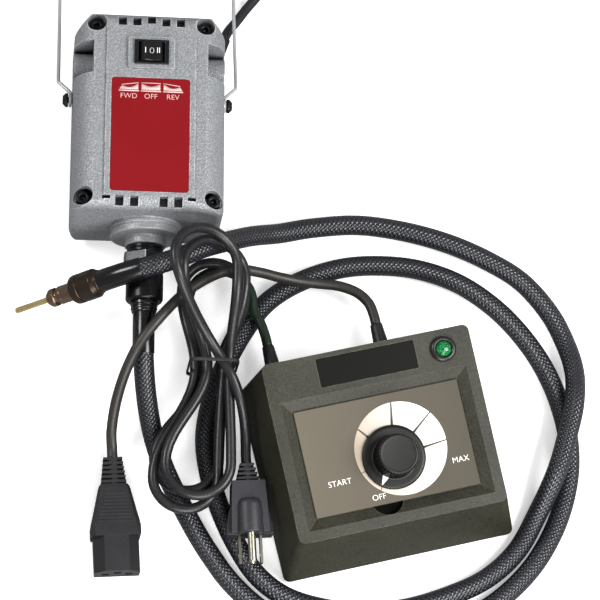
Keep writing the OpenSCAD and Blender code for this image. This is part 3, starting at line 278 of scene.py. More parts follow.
hoseLook = {"start": (-86, -40.5, 37), "end": (-113.2, -22.6, 41), "tipWay": (-0.772, -0.13, -0.62), "step": 2.2,
            "sides": 32}
hosePoints = [
    (-86, -53, 37), (-85.5, -69, 34), (-83.5, -85, 25), (-80, -101, 14), (-75, -117, 7.6),
    (-68, -134, 6.2), (-57, -156, 6.2), (-44, -178, 6.2), (-28, -199, 6.2), (-7, -216, 6.2),
    (20, -226, 6.2), (50, -230, 6.2), (80, -228, 6.2), (108, -219, 6.2), (133, -204, 6.2),
    (154, -183, 6.2), (169, -157, 6.2), (177, -130, 6.2), (178, -105, 6.2), (173, -81, 6.2),
    (164, -59, 6.2), (151, -39, 6.2), (134, -21, 6.2), (112, -6, 6.2), (87, 2.5, 6.2),
    (61, 4.5, 6.2), (36, 1.5, 6.2), (11, -8, 6.2), (-9, -22, 6.2), (-23, -41, 6.2),
    (-34, -62, 6.2), (-42, -84, 6.2), (-46, -108, 6.2), (-43, -132, 6.2), (-36, -154, 6.2),
    (-26, -175, 6.2), (-14, -192.5, 6.2), (2, -204.5, 6.2), (22, -211, 6.2), (48, -214, 6.2),
    (75, -211, 6.2), (101, -203, 6.2), (125, -191.5, 6.2), (144, -174, 6.2), (157, -151, 9),
    (167, -128, 19.3), (174, -106, 19.8), (179.5, -84, 19.4), (181.5, -62, 12.5),
    (177, -41, 7), (167.5, -22, 6.2), (151, -3, 6.2), (130, 10, 6.2), (105, 20.5, 6.2),
    (77, 27.5, 6.2), (48, 30.5, 6.2), (20, 27.5, 6.8), (-1, 22, 10.5), (-19.5, 15.5, 23),
    (-36, 7, 36.8), (-51, -1.5, 49.5), (-63, -8.5, 55), (-75.5, -14, 56.7), (-88.5, -17.6, 54.9),
    (-103.3, -20.9, 48.6),
]
hoseLine = smoothLine([hoseLook["start"]] + hosePoints + [hoseLook["end"]], hoseLook["step"])
hose, hosePath = tubePiece("flexShaftSheath", hoseLine, cordSize["hose"] / 2, hoseLook["sides"], cordSize["hose"] / 2)
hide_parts("flex_sheath")

# motor cord: strain relief, a loose bend, then a neat coil behind the motor
motorCordLook = {"reliefAt": (-45, 133, 12), "reliefWay": (0.42, 0.9, -0.15), "reliefLength": 20, "turns": 7.25,
                 "radius": 24, "pitch": 6.9, "climb": 6.8, "lift": 0.1, "at": (62, 246), "steps": 48}
motorCordPoints = [(-29, 163.5, 6.8), (-23.5, 172, 5), (-17, 181, 3.7), (-10.5, 190, 3.2), (-4, 200, 3.2),
                   (2, 208, 3.2), (7.2, 216.5, 3.2), (11, 225.3, 3.2)]


def gentle(t):
    k = max(0, min(1, t))
    return k * k * (3 - 2 * k)


def eased(t):
    return (1 - math.cos(math.pi * t)) / 2


def coilPoint(look, wound):
    angle = deg(180 - 360 * wound)
    middle = look["turns"] / 2
    radius = look["radius"] + look["pitch"] * abs(wound - middle)
    return Vector((look["at"][0] + radius * math.cos(angle), look["at"][1] + radius * math.sin(angle),
                   cordSize["mains"] / 2 + look["lift"] + look["climb"] * gentle((wound - middle) * 2 + 0.5)))


def motorCordLine(look):
    d, way = cordSize["mains"], Vector(look["reliefWay"]).normalized()
    tip = Vector(look["reliefAt"]) + look["reliefLength"] * way
    first = coilPoint(look, 0)
    lead = smoothLine([tip, tip + d * way] + motorCordPoints
                      + [first - Vector((0, 2 * d, 0)), first - Vector((0, d, 0)), first], 2)
    count = round(look["turns"] * look["steps"])
    coil = [coilPoint(look, n / look["steps"]) for n in range(1, count + 1)]
    return lead + coil + [coil[-1] + Vector((d * k / 3, 0, 0)) for k in (1, 2, 3)]


motorCord, motorCordPath = tubePiece("motorCordRun", motorCordLine(motorCordLook), cordSize["mains"] / 2)
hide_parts("motor_cord", "motor_cord_coil")

# outlet cord, from the control to the three-slot connector
outletLook = {"start": (57.6, -36.9, 17), "end": (-102, -124, 9.8), "endWay": (0.06, -0.998, 0)}
outletPoints = [
    (53, -23, 16.5), (46, -16.3, 15.5), (35, -12.2, 14.6), (22.5, -11.2, 14.9), (10, -10.6, 16.6),
    (-2, -9.6, 19.9), (-14, -8.4, 24.6), (-27, -8.6, 30), (-40, -12.8, 35.4), (-53, -21.2, 40.8),
    (-65, -32, 45.6), (-77, -46, 48.6), (-88, -60.5, 46.8), (-96, -76, 37.5), (-101, -92, 24.5),
    (-103, -107, 13.5),
]
outletStart, outletEnd, outletWay = (Vector(outletLook[part]) for part in ("start", "end", "endWay"))
outletLine = smoothLine([outletStart, outletStart + cordSize["outlet"] * rearWay] + outletPoints
                        + [outletEnd - cordSize["outlet"] * outletWay, outletEnd], 2)
outletCord, outletPath = tubePiece("outletCordRun", outletLine, cordSize["outlet"] / 2)
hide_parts("outlet_cord")

# mains cord: out of the gland, three and a half loops in a hank, then down to the plug
hankLook = {"steps": 20, "base": 18.8, "pitch": 7.3, "fold": 3.15 * 6.2, "waist": (-44.5, -71.5), "half": 6.5,
            "offset": (2, -3, 4, 3), "climb": 50, "top": ((-38, -25), (-43, -22), (-45, -19), (-51, -15.5)),
            "low": ((-58, -125), (-59, -138), (-52, -131)), "rise": (-3.2, -3.2, 27.8, 28.6),
            "tilt": (0, 0, 0.6, 0.6), "climbFrom": (4, 4, 4, -2), "lastX": -37, "lastRise": 4}
mainsLook = {"start": (-9.1, -53, 17), "points": [(-12.5, -41, 16.9), (-14.8, -35.8, 16.5)],
             "toPlug": [(-30.5, -85.5, 42), (-27.6, -92.5, 38.6), (-25.3, -100, 33.6), (-23.8, -108, 28.8),
                        (-23.2, -115.4, 26)],
             "end": (-22.6, -129, 25.3), "endWay": (0.06, -0.998, 0)}


def hankX(look, j, y, side):
    waistX = look["waist"][0] + look["offset"][j]
    waistY = look["waist"][1]
    target = look["top"][j] if y > waistY else look["low"][min(j, 2)]
    share = eased((y - waistY) / (target[1] - waistY))
    return mixed(waistX + side * look["half"], target[0] + side * look["fold"], share)


def hankAt(look, j, x, y):
    share = gentle((y - look["waist"][1] - look["climbFrom"][j]) / look["climb"])
    return Vector((x, y, look["base"] + j * look["pitch"]
                   + share * (look["rise"][j] + look["tilt"][j] * (look["top"][3][0] - x))))


def hankLine(look):
    steps = look["steps"]

    def foldOver(j, centre, start):
        angles = [deg(start + 180 * k / steps) for k in range(steps)]
        return [hankAt(look, j, centre[0] + look["fold"] * math.cos(a), centre[1] + look["fold"] * math.sin(a))
                for a in angles]

    line = foldOver(0, look["top"][0], 0)
    for j in range(3):
        for k in range(steps):
            y = mixed(look["top"][j][1], look["low"][j][1], k / steps)
            line.append(hankAt(look, j, hankX(look, j, y, -1), y))
        line += foldOver(j, look["low"][j], 180)
        for k in range(steps):
            y = mixed(look["low"][j][1], look["top"][j + 1][1], k / steps)
            below = hankAt(look, j, hankX(look, j, y, 1), y)
            above = hankAt(look, j + 1, hankX(look, j + 1, y, 1), y)
            line.append(mixed(below, above, gentle(k / steps)))
        line += foldOver(j + 1, look["top"][j + 1], 0)
    for k in range(steps + 1):
        t = k / steps
        y = mixed(look["top"][3][1], look["waist"][1] - 2, t)
        x = mixed(look["top"][3][0] - look["fold"], look["lastX"], t * t * (2 - t))
        line.append(hankAt(look, 3, x, y) + Vector((0, 0, look["lastRise"] * gentle(t))))
    return line


def mainsLine(look, hank):
    d = cordSize["mains"]
    start, end = Vector(look["start"]), Vector(look["end"])
    way = (hank[1] - hank[0]).normalized()
    lastWay = (hank[-1] - hank[-2]).normalized()
    lead = smoothLine([start, start + d * rearWay] + look["points"] + [hank[0] - d * way, hank[0]], 2)
    tail = smoothLine([hank[-1], hank[-1] + d * lastWay] + look["toPlug"]
                      + [end - d * Vector(look["endWay"]), end], 2)
    return lead + hank[1:] + tail[1:]


mainsCord, mainsPath = tubePiece("mainsCordRun", mainsLine(mainsLook, hankLine(hankLook)), cordSize["mains"] / 2)
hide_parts("mains_cord", "mains_hank", "plug_cord")
print("hose and cords laid")


# colours and node helpers
def colourOf(hexCode):
    # a display colour as the linear one that a shader takes
    parts = [int(hexCode[i:i + 2], 16) / 255 for i in (0, 2, 4)]
    return tuple(p / 12.92 if p <= 0.04045 else ((p + 0.055) / 1.055) ** 2.4 for p in parts) + (1.0,)


def feed(tree, socket, value):
    # links another socket's value, or sets a constant; a colour is a hex code
    if isinstance(value, bpy.types.NodeSocket):
        tree.links.new(value, socket)
    elif value is not None:
        socket.default_value = colourOf(value) if isinstance(value, str) else value


def addNode(tree, kind, inputs=None, **settings):
    made = tree.nodes.new("ShaderNode" + kind)
    for label, value in settings.items():
        setattr(made, label, value)
    for label, value in (inputs or {}).items():
        feed(tree, made.inputs[label], value)
    return made.outputs


def addMath(tree, kind, *values):
    return addNode(tree, "Math", dict(enumerate(values)), operation=kind)[0]


def times(tree, first, *others):
    for other in others:
        first = addMath(tree, "MULTIPLY", first, other)
    return first


def onObject(tree):
    return addNode(tree, "TexCoord")["Object"]


def onRun(tree):
    # how far round and along a cord
    return addNode(tree, "UVMap", uv_map="run")["UV"]


def axisOf(tree, vector, axis):
    return addNode(tree, "SeparateXYZ", {0: vector})[axis]


def addNoise(tree, scale, detail=2.0, rough=0.5, where=None):
    place = onObject(tree) if where is None else where
    return addNode(tree, "TexNoise", {"Scale": scale, "Detail": detail, "Roughness": rough, "Vector": place})["Fac"]


def addRange(tree, value, low, high, toLow=0.0, toHigh=1.0):
    ends = {"From Min": low, "From Max": high, "To Min": toLow, "To Max": toHigh}
    return addNode(tree, "MapRange", {"Value": value, **ends})["Result"]


def blendColours(tree, factor, first, second):
    node = tree.nodes.new("ShaderNodeMix")
    node.data_type = "RGBA"
    for value, socket in zip((factor, first, second), [s for s in node.inputs if s.enabled]):
        feed(tree, socket, value)
    return [s for s in node.outputs if s.enabled][0]


def patches(tree, look):
    return addRange(tree, addNoise(tree, *look["noise"]), *look["span"])


# a noise is its scale, detail and roughness, or the last two; a span goes from what gives 0 to what gives 1
grainLook = {"fine": (3, 0.6), "specks": (2, 0.7), "speckScale": 0.5, "speckShare": 0.7, "mottle": (22, 3, 0.5),
             "mottleShare": 0.3, "span": (0.36, 0.64)}
rubLook = {"level": (0.995, 0.85), "noise": (140, 4, 0.65), "span": (0.38, 0.62), "samples": 4}
dustLook = {"facing": (0.3, 1.0), "noise": (45, 5, 0.7), "span": (0.42, 0.75)}
recessLook = {"span": (0.45, 0.08), "samples": 6}
hammerLook = {"smooth": 0.6, "cellShare": 0.7, "fine": (2, 0.6), "span": (0.5, 1.15)}
linesLook = {"fine": (3, 0.7), "lineShare": 0.6, "smudge": (120, 4, 0.6), "smudgeShare": 0.4}
braidLook = {"strands": 11, "pitch": 0.0029, "crown": 0.35, "heightShare": 0.8, "fuzz": (600, 2, 0.6),
             "fuzzShare": 0.35, "contrast": 1.9, "rough": (0.42, 0.2), "depth": 0.00035}


def mouldGrain(tree, given, look):
    specks = addNoise(tree, times(tree, given["Scale"], look["speckScale"]), *look["specks"])
    mottle = addMath(tree, "MULTIPLY_ADD", addNoise(tree, *look["mottle"]), look["mottleShare"],
                     times(tree, specks, look["speckShare"]))
    return {"Height": addNoise(tree, given["Scale"], *look["fine"]), "Tone": addRange(tree, mottle, *look["span"])}


def edgeRubAndHighlight(tree, given, look):
    # lighter edges: wear where an edge has been rubbed bare, and partly a painted edge highlight
    bevel = addNode(tree, "Bevel", {"Radius": given["Radius"]}, samples=look["samples"])[0]
    normal = addNode(tree, "NewGeometry")["Normal"]
    level = addNode(tree, "VectorMath", {0: bevel, 1: normal}, operation="DOT_PRODUCT")["Value"]
    return {"Mask": times(tree, addRange(tree, level, *look["level"]), patches(tree, look), given["Amount"])}


def settledDust(tree, given, look):
    # fine dust that settles on what faces up
    facing = addRange(tree, axisOf(tree, addNode(tree, "NewGeometry")["Normal"], "Z"), *look["facing"])
    return {"Mask": times(tree, facing, patches(tree, look), given["Amount"])}


def paintedRecessShade(tree, given, look):
    # painted shade: darker in slots, pockets and inner corners, from an occlusion test
    shade = addNode(tree, "AmbientOcclusion", {"Distance": given["Depth"]}, samples=look["samples"],
                    only_local=True)["AO"]
    return {"Mask": times(tree, addRange(tree, shade, *look["span"]), given["Amount"])}


def hammerPaint(tree, given, look):
    # mottled cells of hammer paint
    where = onObject(tree)
    cells = addNode(tree, "TexVoronoi", {"Smoothness": look["smooth"], "Scale": given["Scale"], "Vector": where},
                    feature="SMOOTH_F1")["Distance"]
    height = addMath(tree, "ADD", times(tree, cells, look["cellShare"]),
                     addNoise(tree, given["Scale"], *look["fine"], where))
    return {"Height": height, "Tone": addRange(tree, height, *look["span"])}


def turningLines(tree, given, look):
    # fine turning lines square to a direction
    along = addNode(tree, "VectorMath", {0: onObject(tree), 1: given["Direction"]}, operation="DOT_PRODUCT")["Value"]
    lines = addNoise(tree, given["Scale"], *look["fine"], addNode(tree, "CombineXYZ", {"X": along})[0])
    smudge = times(tree, addNoise(tree, *look["smudge"]), look["smudgeShare"])
    return {"Height": lines, "Tone": addMath(tree, "MULTIPLY_ADD", lines, look["lineShare"], smudge)}


def hoseBraid(tree, given, look):
    # two families of strands that pass over and under each other
    run = onRun(tree)
    around = times(tree, axisOf(tree, run, "X"), given["Strands"])
    along = addMath(tree, "DIVIDE", axisOf(tree, run, "Y"), given["Pitch"])
    families = [addMath(tree, kind, around, along) for kind in ("ADD", "SUBTRACT")]
    waves = [addMath(tree, "SINE", times(tree, addMath(tree, "FRACT", family), math.pi)) for family in families]
    strands = addMath(tree, "ADD", *[addMath(tree, "FLOOR", family) for family in families])
    over = [times(tree, waves[i], addMath(tree, "POWER", waves[1 - i], look["crown"])) for i in (0, 1)]
    height = addNode(tree, "Mix", {"Factor": addMath(tree, "FLOORED_MODULO", strands, 2), "A": over[0],
                                   "B": over[1]})["Result"]
    tone = addMath(tree, "MULTIPLY_ADD", addNoise(tree, *look["fuzz"]), look["fuzzShare"],
                   times(tree, height, look["heightShare"]))
    return {"Height": height, "Tone": tone}


def makeGroup(build, look, **inputs):
    group = bpy.data.node_groups.new(build.__name__, "ShaderNodeTree")
    for label, value in inputs.items():
        kind = "NodeSocketVector" if isinstance(value, tuple) else "NodeSocketFloat"
        group.interface.new_socket(label, in_out="INPUT", socket_type=kind).default_value = value
    results = build(group, group.nodes.new("NodeGroupInput").outputs, look)
    for label in results:
        group.interface.new_socket(label, in_out="OUTPUT", socket_type="NodeSocketFloat")
    end = group.nodes.new("NodeGroupOutput")
    for label, value in results.items():
        group.links.new(value, end.inputs[label])
    return group


groups = {
    "grain": makeGroup(mouldGrain, grainLook, Scale=2500.0),
    "rub": makeGroup(edgeRubAndHighlight, rubLook, Radius=0.0006, Amount=0.5),
    "dust": makeGroup(settledDust, dustLook, Amount=0.2),
    "recess": makeGroup(paintedRecessShade, recessLook, Depth=0.006, Amount=0.8),
    "hammer": makeGroup(hammerPaint, hammerLook, Scale=800.0),
    "lines": makeGroup(turningLines, linesLook, Direction=(0, 1, 0), Scale=2600.0),
    "braid": makeGroup(hoseBraid, braidLook, Strands=14.0, Pitch=0.0023),
}


# materials
def startMaterial(name, **values):
    material = bpy.data.materials.new(name)
    material.use_nodes = True
    shader = material.node_tree.nodes["Principled BSDF"].inputs
    for label, value in values.items():
        shader[label.replace("_", " ")].default_value = value
    return material, material.node_tree, shader


def useGroup(tree, kind, **values):
    return addNode(tree, "Group", values, node_tree=groups[kind])


def layered(tree, colour, *layers):
    # each layer is a mask and the colour it brings
    for mask, shade in layers:
        colour = blendColours(tree, mask, colour, shade)
    return colour


def surface(tree, shader, colour, rough=None, height=None, strength=0.2, depth=0.0002):
    feed(tree, shader["Base Color"], colour)
    feed(tree, shader["Roughness"], rough)
    if height is not None:
        bump = addNode(tree, "Bump", {"Height": height, "Strength": strength, "Distance": depth})
        feed(tree, shader["Normal"], bump["Normal"])


alongX, alongY, alongZ = (1, 0, 0), (0, 1, 0), (0, 0, 1)
tipWay, bare = tuple(Vector(hoseLook["tipWay"]).normalized()), "e8e6e0"

# families of skin: the names of a row's values, then what holds where the row says nothing
skins = {
    "hammer": {"row": "dark light scale bump rough", "group": "hammer", "rough": 0.42, "gloss": 0.35, "metallic": 0.25,
               "rub": 0.65, "rubRadius": 0.0011, "rubbed": "e4e5e6", "dust": 0.04, "dustShade": "9d9a94",
               "recessShade": (0.006, 0.96, "0c0c0d"), "spread": ("Tone", -0.22, 0.12), "depth": 0.0005},
    "metal": {"row": "dark light rough rubbed metallic way scale bump", "group": "lines", "rub": 0.3,
              "rubRadius": 0.0004, "rubbed": bare, "metallic": 1.0, "way": alongY, "scale": 2600, "bump": 0.12,
              "spread": ("Tone", 0.22, -0.11), "depth": 0.0001},
    "moulded": {"row": "dark light rough scale bump rub rubbed dust coat gloss", "group": "grain", "scale": 2500,
                "bump": 0.25, "rub": 0.25, "rubRadius": 0.0007, "rubbed": "8a8880", "dust": 0.02,
                "dustShade": "8f8b82", "dustRough": 0.4, "gloss": 0.3, "recessShade": (0.004, 0.85, "050505"),
                "spread": ("Height", 0.16, -0.08), "depth": 0.0002},
    "cord": {"row": "dark light rough tint", "group": "grain", "scale": 1800, "bump": 0.12, "dust": 0.03,
             "dustShade": "8d8a80", "gloss": 0.4, "spread": ("Tone", 0.15, -0.07), "depth": 0.0002},
}


def skinMaterial(name, family, row):
    look = {**skins[family], **dict(zip(skins[family]["row"].split(), row))}
    material, tree, shader = startMaterial(name, Metallic=look.get("metallic", 0.0), Roughness=look["rough"],
                                           Coat_Weight=look.get("coat", 0.0), Coat_Roughness=0.2,
                                           Specular_IOR_Level=look.get("gloss", 0.5))
    way = {"Direction": look["way"]} if "way" in look else {}
    skin = useGroup(tree, look["group"], Scale=look["scale"], **way)
    source, slope, offset = look["spread"]
    rough = addMath(tree, "MULTIPLY_ADD", skin[source], slope, look["rough"] + offset)
    layers = [(skin["Tone"], look["light"])]
    if "tint" in look:  # a second colour, which fades out along the cord
        shade, start, end = look["tint"]
        layers.append((addRange(tree, axisOf(tree, onRun(tree), "Y"), start, end, 1.0, 0.0), shade))
    # lighter edges, partly rubbed wear and partly painted edge highlight
    if look.get("rub"):
        rubbed = useGroup(tree, "rub", Radius=look["rubRadius"], Amount=look["rub"])["Mask"]
        layers.append((rubbed, look["rubbed"]))
    if look.get("dust"):
        settled = useGroup(tree, "dust", Amount=look["dust"])["Mask"]
        layers.append((settled, look["dustShade"]))
        if "dustRough" in look:
            rough = addMath(tree, "ADD", rough, times(tree, settled, look["dustRough"]))
    # painted shade in recesses
    if "recessShade" in look:
        depth, amount, shade = look["recessShade"]
        layers.append((useGroup(tree, "recess", Depth=depth, Amount=amount)["Mask"], shade))
    surface(tree, shader, layered(tree, look["dark"], *layers), rough, skin["Height"], look["bump"], look["depth"])
    return material


def braidMaterial(name, dark, light):
    look = braidLook
    material, tree, shader = startMaterial(name, Specular_IOR_Level=0.6)
    braid = useGroup(tree, "braid", Strands=look["strands"], Pitch=look["pitch"])
    colour = blendColours(tree, addMath(tree, "POWER", braid["Tone"], look["contrast"]), dark, light)
    surface(tree, shader, colour, addRange(tree, braid["Tone"], 0, 1, *look["rough"]), braid["Height"], 1.0,
            look["depth"])
    return material


ringLook = {"across": (0.04, 0.085), "along": (-0.15, -0.11), "stain": (300, 3), "stainShare": 0.08,
            "fibre": (4000, 2), "strength": 0.05, "depth": 0.0001}
panelLook = {"across": (0.0, 0.125), "speckShare": 0.35, "slope": 0.2, "least": 0.4}
lensLook = {"span": (0.0, 0.7), "strength": 0.5, "depth": 0.0005}
inkLook = {"noise": (900, 4, 0.7), "span": (0.35, 0.75)}


def ringMaterial(name, left, low, bright):
    # printed dial ring: cream on the left, white on the right
    look = ringLook
    material, tree, shader = startMaterial(name, Roughness=0.45, Specular_IOR_Level=0.3)
    place = onObject(tree)
    across = addMath(tree, "ADD", addRange(tree, axisOf(tree, place, "X"), *look["across"]),
                     times(tree, addNoise(tree, *look["stain"]), look["stainShare"]))
    right = blendColours(tree, addRange(tree, axisOf(tree, place, "Y"), *look["along"]), low, bright)
    surface(tree, shader, blendColours(tree, across, left, right), None, addNoise(tree, *look["fibre"]),
            look["strength"], look["depth"])
    return material


def panelMaterial(name, left, right, speck):
    # brushed panel with painted light: lighter toward its left end, as if lit from the left
    look = panelLook
    material, tree, shader = startMaterial(name, Metallic=0.1, Roughness=0.5, Specular_IOR_Level=0.3)
    across = addRange(tree, axisOf(tree, onObject(tree), "X"), *look["across"])
    mould = useGroup(tree, "grain", Scale=3500)
    colour = layered(tree, left, (across, right), (times(tree, mould["Tone"], look["speckShare"]), speck))
    rough = addMath(tree, "MULTIPLY_ADD", mould["Height"], look["slope"], look["least"])
    surface(tree, shader, colour, rough, mould["Height"])
    return material


def lensMaterial(name, middle, rim, glowMiddle, glowRim):
    look = lensLook
    material, tree, shader = startMaterial(name, Roughness=0.12, Transmission_Weight=0.35, IOR=1.49,
                                           Emission_Strength=0.12)
    cells = addNode(tree, "TexVoronoi", {"Scale": 900, "Vector": onObject(tree)})["Distance"]
    glow = addRange(tree, cells, *look["span"])
    surface(tree, shader, blendColours(tree, glow, middle, rim), None, cells, look["strength"], look["depth"])
    feed(tree, shader["Emission Color"], blendColours(tree, glow, glowMiddle, glowRim))
    return material


def inkMaterial(name, shade, worn):
    material, tree, shader = startMaterial(name, Roughness=0.5)
    surface(tree, shader, blendColours(tree, patches(tree, inkLook), shade, worn))
    return material


skinRows = {
    "hammer": {
        "castSilver": ("686a6d", "9d9fa2", 1150, 0.6), "castRear": ("67696c", "95979a", 1150, 0.6),
        "flangeMetal": ("6b6d6f", "9b9d9f", 1400, 0.3, 0.36),
    },
    "metal": {
        "nutSteel": ("38393a", "626365", 0.26, "c9cbce"),
        "blackScrew": ("0d0d0e", "2a2a2c", 0.32, "77777a", 0.7, alongZ),
        "blackSleeve": ("070708", "1b1b1d", 0.28, "6b6b6e", 0.6),
        "wire": ("9c9ea1", "d6d8da", 0.3, bare, 0.4, alongY, 900),
        "prongBrass": ("8a8474", "c6c2b4", 0.3, bare, 1.0, alongX, 1500),
        "pinNickel": ("a2a4a8", "d8dadc", 0.28, bare, 1.0, alongY, 1500),
        "ferruleDark": ("1a1512", "463a30", 0.3, "7a6552", 0.75, tipWay, 2400),
        "connectorBrown": ("4c3f36", "957f6b", 0.3, "c9ad88", 1.0, tipWay, 2000),
        "tipBrass": ("b59a5a", "efe0ae", 0.28, bare, 1.0, tipWay, 1800),
        "screwSteel": ("74767a", "b9bbbe", 0.36, bare, 1.0, alongX, 2200),
        "brass": ("8f733a", "c8a862", 0.36, bare, 1.0, alongX, 2000),
        "laminations": ("4d4b48", "8b8884", 0.42, bare, 1.0, alongY, 1800, 0.5),
        "copper": ("6f3413", "c07440", 0.36, bare, 1.0, alongY, 1200, 0.6),
        "bearing": ("8c8f93", "cfd1d4", 0.22),
        "heatSink": ("8a8d91", "b9bcc0", 0.4, bare, 1.0, alongX, 1800),
    },
    "moulded": {
        "labelRed": ("700e14", "7c1218", 0.4, 4500, 0.05, 0.1, "c46a68", 0.0, 0.0, 0.12),
        "switchBlack": ("08080a", "121214", 0.3, 3000, 0.1, 0.2, "5a5a5e", 0.0, 0.1, 0.3),
        "knobBlack": ("090a08", "171914", 0.4, 3200, 0.18, 0.15, "3c3e38", 0.02, 0.0, 0.3),
        "knobShadedSide": ("020202", "070706", 0.5, 3200, 0.1, 0.05, "22221f", 0.0, 0.0, 0.12),
        "caseOlive": ("191812", "333226", 0.46, 1500, 0.6, 0.75, "77755f", 0.03, 0.0, 0.35),
        "baseOlive": ("15150f", "29281f", 0.6, 1600, 0.4, 0.2, "55534a", 0.0, 0.0, 0.25),
        "plateBlack": ("070705", "0e0e0a", 0.42, 3200, 0.08, 0.15, "55554c", 0.0, 0.0, 0.12),
        "bezelBlack": ("10110e", "1b1c17", 0.3, 3000, 0.08, 0.3, "5a5a52", 0.0, 0.1, 0.4),
        "hoseSleeve": ("040405", "0a0a0c", 0.2, 2400, 0.06, 0.15, "4b4c50", 0.0, 0.15, 0.35),
        # painted shade for the notch and the connector's slots
        "slotShade": ("020202", "050505", 0.7, 2200, 0.1, 0.0, "8a8880", 0.02, 0.0, 0.05),
        "plugRubber": ("161517", "211f22", 0.44, 2200, 0.15, 0.3, "3f3d40", 0.02, 0.0, 0.35),
        "plugCharcoal": ("202024", "2e2e33", 0.42, 2200, 0.15, 0.3, "55555a", 0.02, 0.0, 0.4),
        "tieBlack": ("0b0b0c", "1a1a1b", 0.6, 1500, 0.5, 0.1, "3d3d3f", 0.1),
        "footRubber": ("0e0e0e", "1b1b1b", 0.75, 1800, 0.4, 0.05, "333333", 0.0),
        "carbon": ("151517", "2a2a2d", 0.5, 3000, 0.2, 0.1, "444448", 0.0),
        "fanBlack": ("1a1b1c", "2e3032", 0.5),
        "board": ("1e5230", "2f7443", 0.4, 2500, 0.1, 0.1, "b9a86a", 0.05, 0.3),
    },
    "cord": {
        "cordCharcoal": ("121317", "201f20", 0.34, ("142416", 0.03, 0.2)),
        "cordMotor": ("131417", "1e1f22", 0.34), "cordGrey": ("211f1d", "2c2925", 0.42),
    },
}
otherRows = {
    "labelInk": (inkMaterial, "e4bfba", "cc9f9b"), "panelInk": (inkMaterial, "ffffff", "e6e2d8"),
    "tickInk": (inkMaterial, "4b463c", "5f594c"), "panelTaupe": (panelMaterial, "625b4e", "3c372c", "484337"),
    "dialRing": (ringMaterial, "a99a85", "d9cfc0", "ffffff"), "braid": (braidMaterial, "010102", "282a32"),
    "pilotGreen": (lensMaterial, "1fb35c", "05582a", "1fa858", "023d1c"),
}
finish = {name: skinMaterial(name, family, row) for family, rows in skinRows.items() for name, row in rows.items()}
finish.update({name: build(name, *row) for name, (build, *row) in otherRows.items()})
print("materials made")


def dressPiece(piece, material, body="set", replaced=()):
    piece.data.materials.clear()
    piece.data.materials.append(finish[material])
    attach(piece, body)
    if replaced:
        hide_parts(*replaced)
    return piece


for cordPiece, material, slot in ((hose, "braid", "sheath"), (motorCord, "cordMotor", "cord_black"),
                                  (outletCord, "cordGrey", "cord_brown"), (mainsCord, "cordCharcoal", "cord_green")):
    dressPiece(cordPiece, material, "set")


def turnedPart(name, nodeName, material, rows, where, bevel=(), sides=96, body="set"):
    # a turned piece closed on its axis, which stands for one node
    piece = turnedPiece(name, [(0, rows[0][1])] + rows + [(0, rows[-1][1])], where, sides)
    if bevel:
        addBevel(piece, *bevel)
    return dressPiece(piece, material, body, (nodeName,))


# motor: cast housing, label, switch, screws
labelLook = {"iconWidth": 11.6, "iconHeight": 5.6, "spacing": 13.3, "iconY": 30, "wordY": 24.1, "wordSize": 4.6,
             "wordThin": -0.06, "wordLift": 0.22, "line": 0.42, "dish": 0.34, "lift": 0.16, "barHeight": 0.45,
             "bar": 0.9, "capFoot": 1.25, "capSide": 0.97, "up": (0.98, 1), "down": (0.72, 0.74), "thick": 0.08,
             "steps": 12, "overlap": 0.3}
labelFrame = frameAt(motorFrame, shift(0, -37, 46), turn("X", 90))


def stripPiece(name, lines, width, where, lift):
    # each line of points becomes a row of flat bars that overlap a little
    bars = []
    for line in lines:
        for start, end in zip(line, line[1:]):
            a, b = Vector(start), Vector(end)
            way = (b - a).normalized()
            side = Vector((-way.y, way.x)) * width / 2
            a, b = a - way * width * labelLook["overlap"], b + way * width * labelLook["overlap"]
            bars.append(flatPiece("bar", [a - side, b - side, b + side, a + side], where, labelLook["thick"], lift))
    return joined(name, bars, smooth=False)


def rockerIcon(name, centre, leftHigh, rightHigh, look):
    # a rocker seen from its end: a dished cap with one or both ends up, over a bar
    w, h, lift = look["iconWidth"] / 2, look["iconHeight"], look["lift"]
    ends = [(side * w * out, h * up) for side, (out, up) in
            ((-1, look["up" if leftHigh else "down"]), (1, look["up" if rightHigh else "down"]))]
    dish = [(mixed(ends[0][0], ends[1][0], t),
             mixed(ends[0][1], ends[1][1], t) - look["line"] - h * look["dish"] * math.sin(math.pi * t))
            for t in [k / look["steps"] for k in range(look["steps"] + 1)]]
    where = frameAt(labelFrame, shift(centre, look["iconY"] - h / 2, 0))
    foot = w * look["capSide"]
    outline = [(-foot, look["capFoot"])] + dish + [(foot, look["capFoot"])]
    cap = flatPiece(name + "Cap", outline[::-1], where, look["thick"], lift)
    edge = stripPiece(name + "Edge", [ends], look["line"], where, lift)
    bar = stripPiece(name + "Bar", [[(-w, look["barHeight"]), (w, look["barHeight"])]], look["bar"], where, lift)
    return joined(name, [cap, edge, bar])


for name, words, place, highs in (("Forward", "FWD", -1, (False, True)), ("Off", "OFF", 0, (True, True)),
                                  ("Reverse", "REV", 1, (True, False))):
    centre = place * labelLook["spacing"]
    dressPiece(rockerIcon("labelIcon" + name, centre, *highs, labelLook), "labelInk")
    where = frameAt(labelFrame, shift(centre, labelLook["wordY"], labelLook["wordLift"]))
    word = wordPiece("labelWord" + name, words, labelLook["wordSize"], where, bold=labelLook["wordThin"])
    dressPiece(word, "labelInk")

# marks: side, height over the pivot, lean on the tilted rocker, and lines
switchLook = {"side": 3.9, "half": 1.6, "round": 1.15, "apart": 0.6, "line": 0.45, "lean": 10.6, "high": 5.78,
              "low": 5.12, "sides": 20}
switchFrame = frameAt(motorFrame, shift(0, -37, 98), turn("X", 90))


def switchMarks(look):
    def stroke(x):
        return [(x, -look["half"]), (x, look["half"])]

    return (("OneMark", -1, look["high"], look["lean"], [stroke(0)]),
            ("TwoMark", 1, look["high"], -look["lean"], [stroke(-look["apart"]), stroke(look["apart"])]),
            ("OffMark", 0, look["low"], 0, [circlePoints(look["round"], look["sides"], look["half"])]))


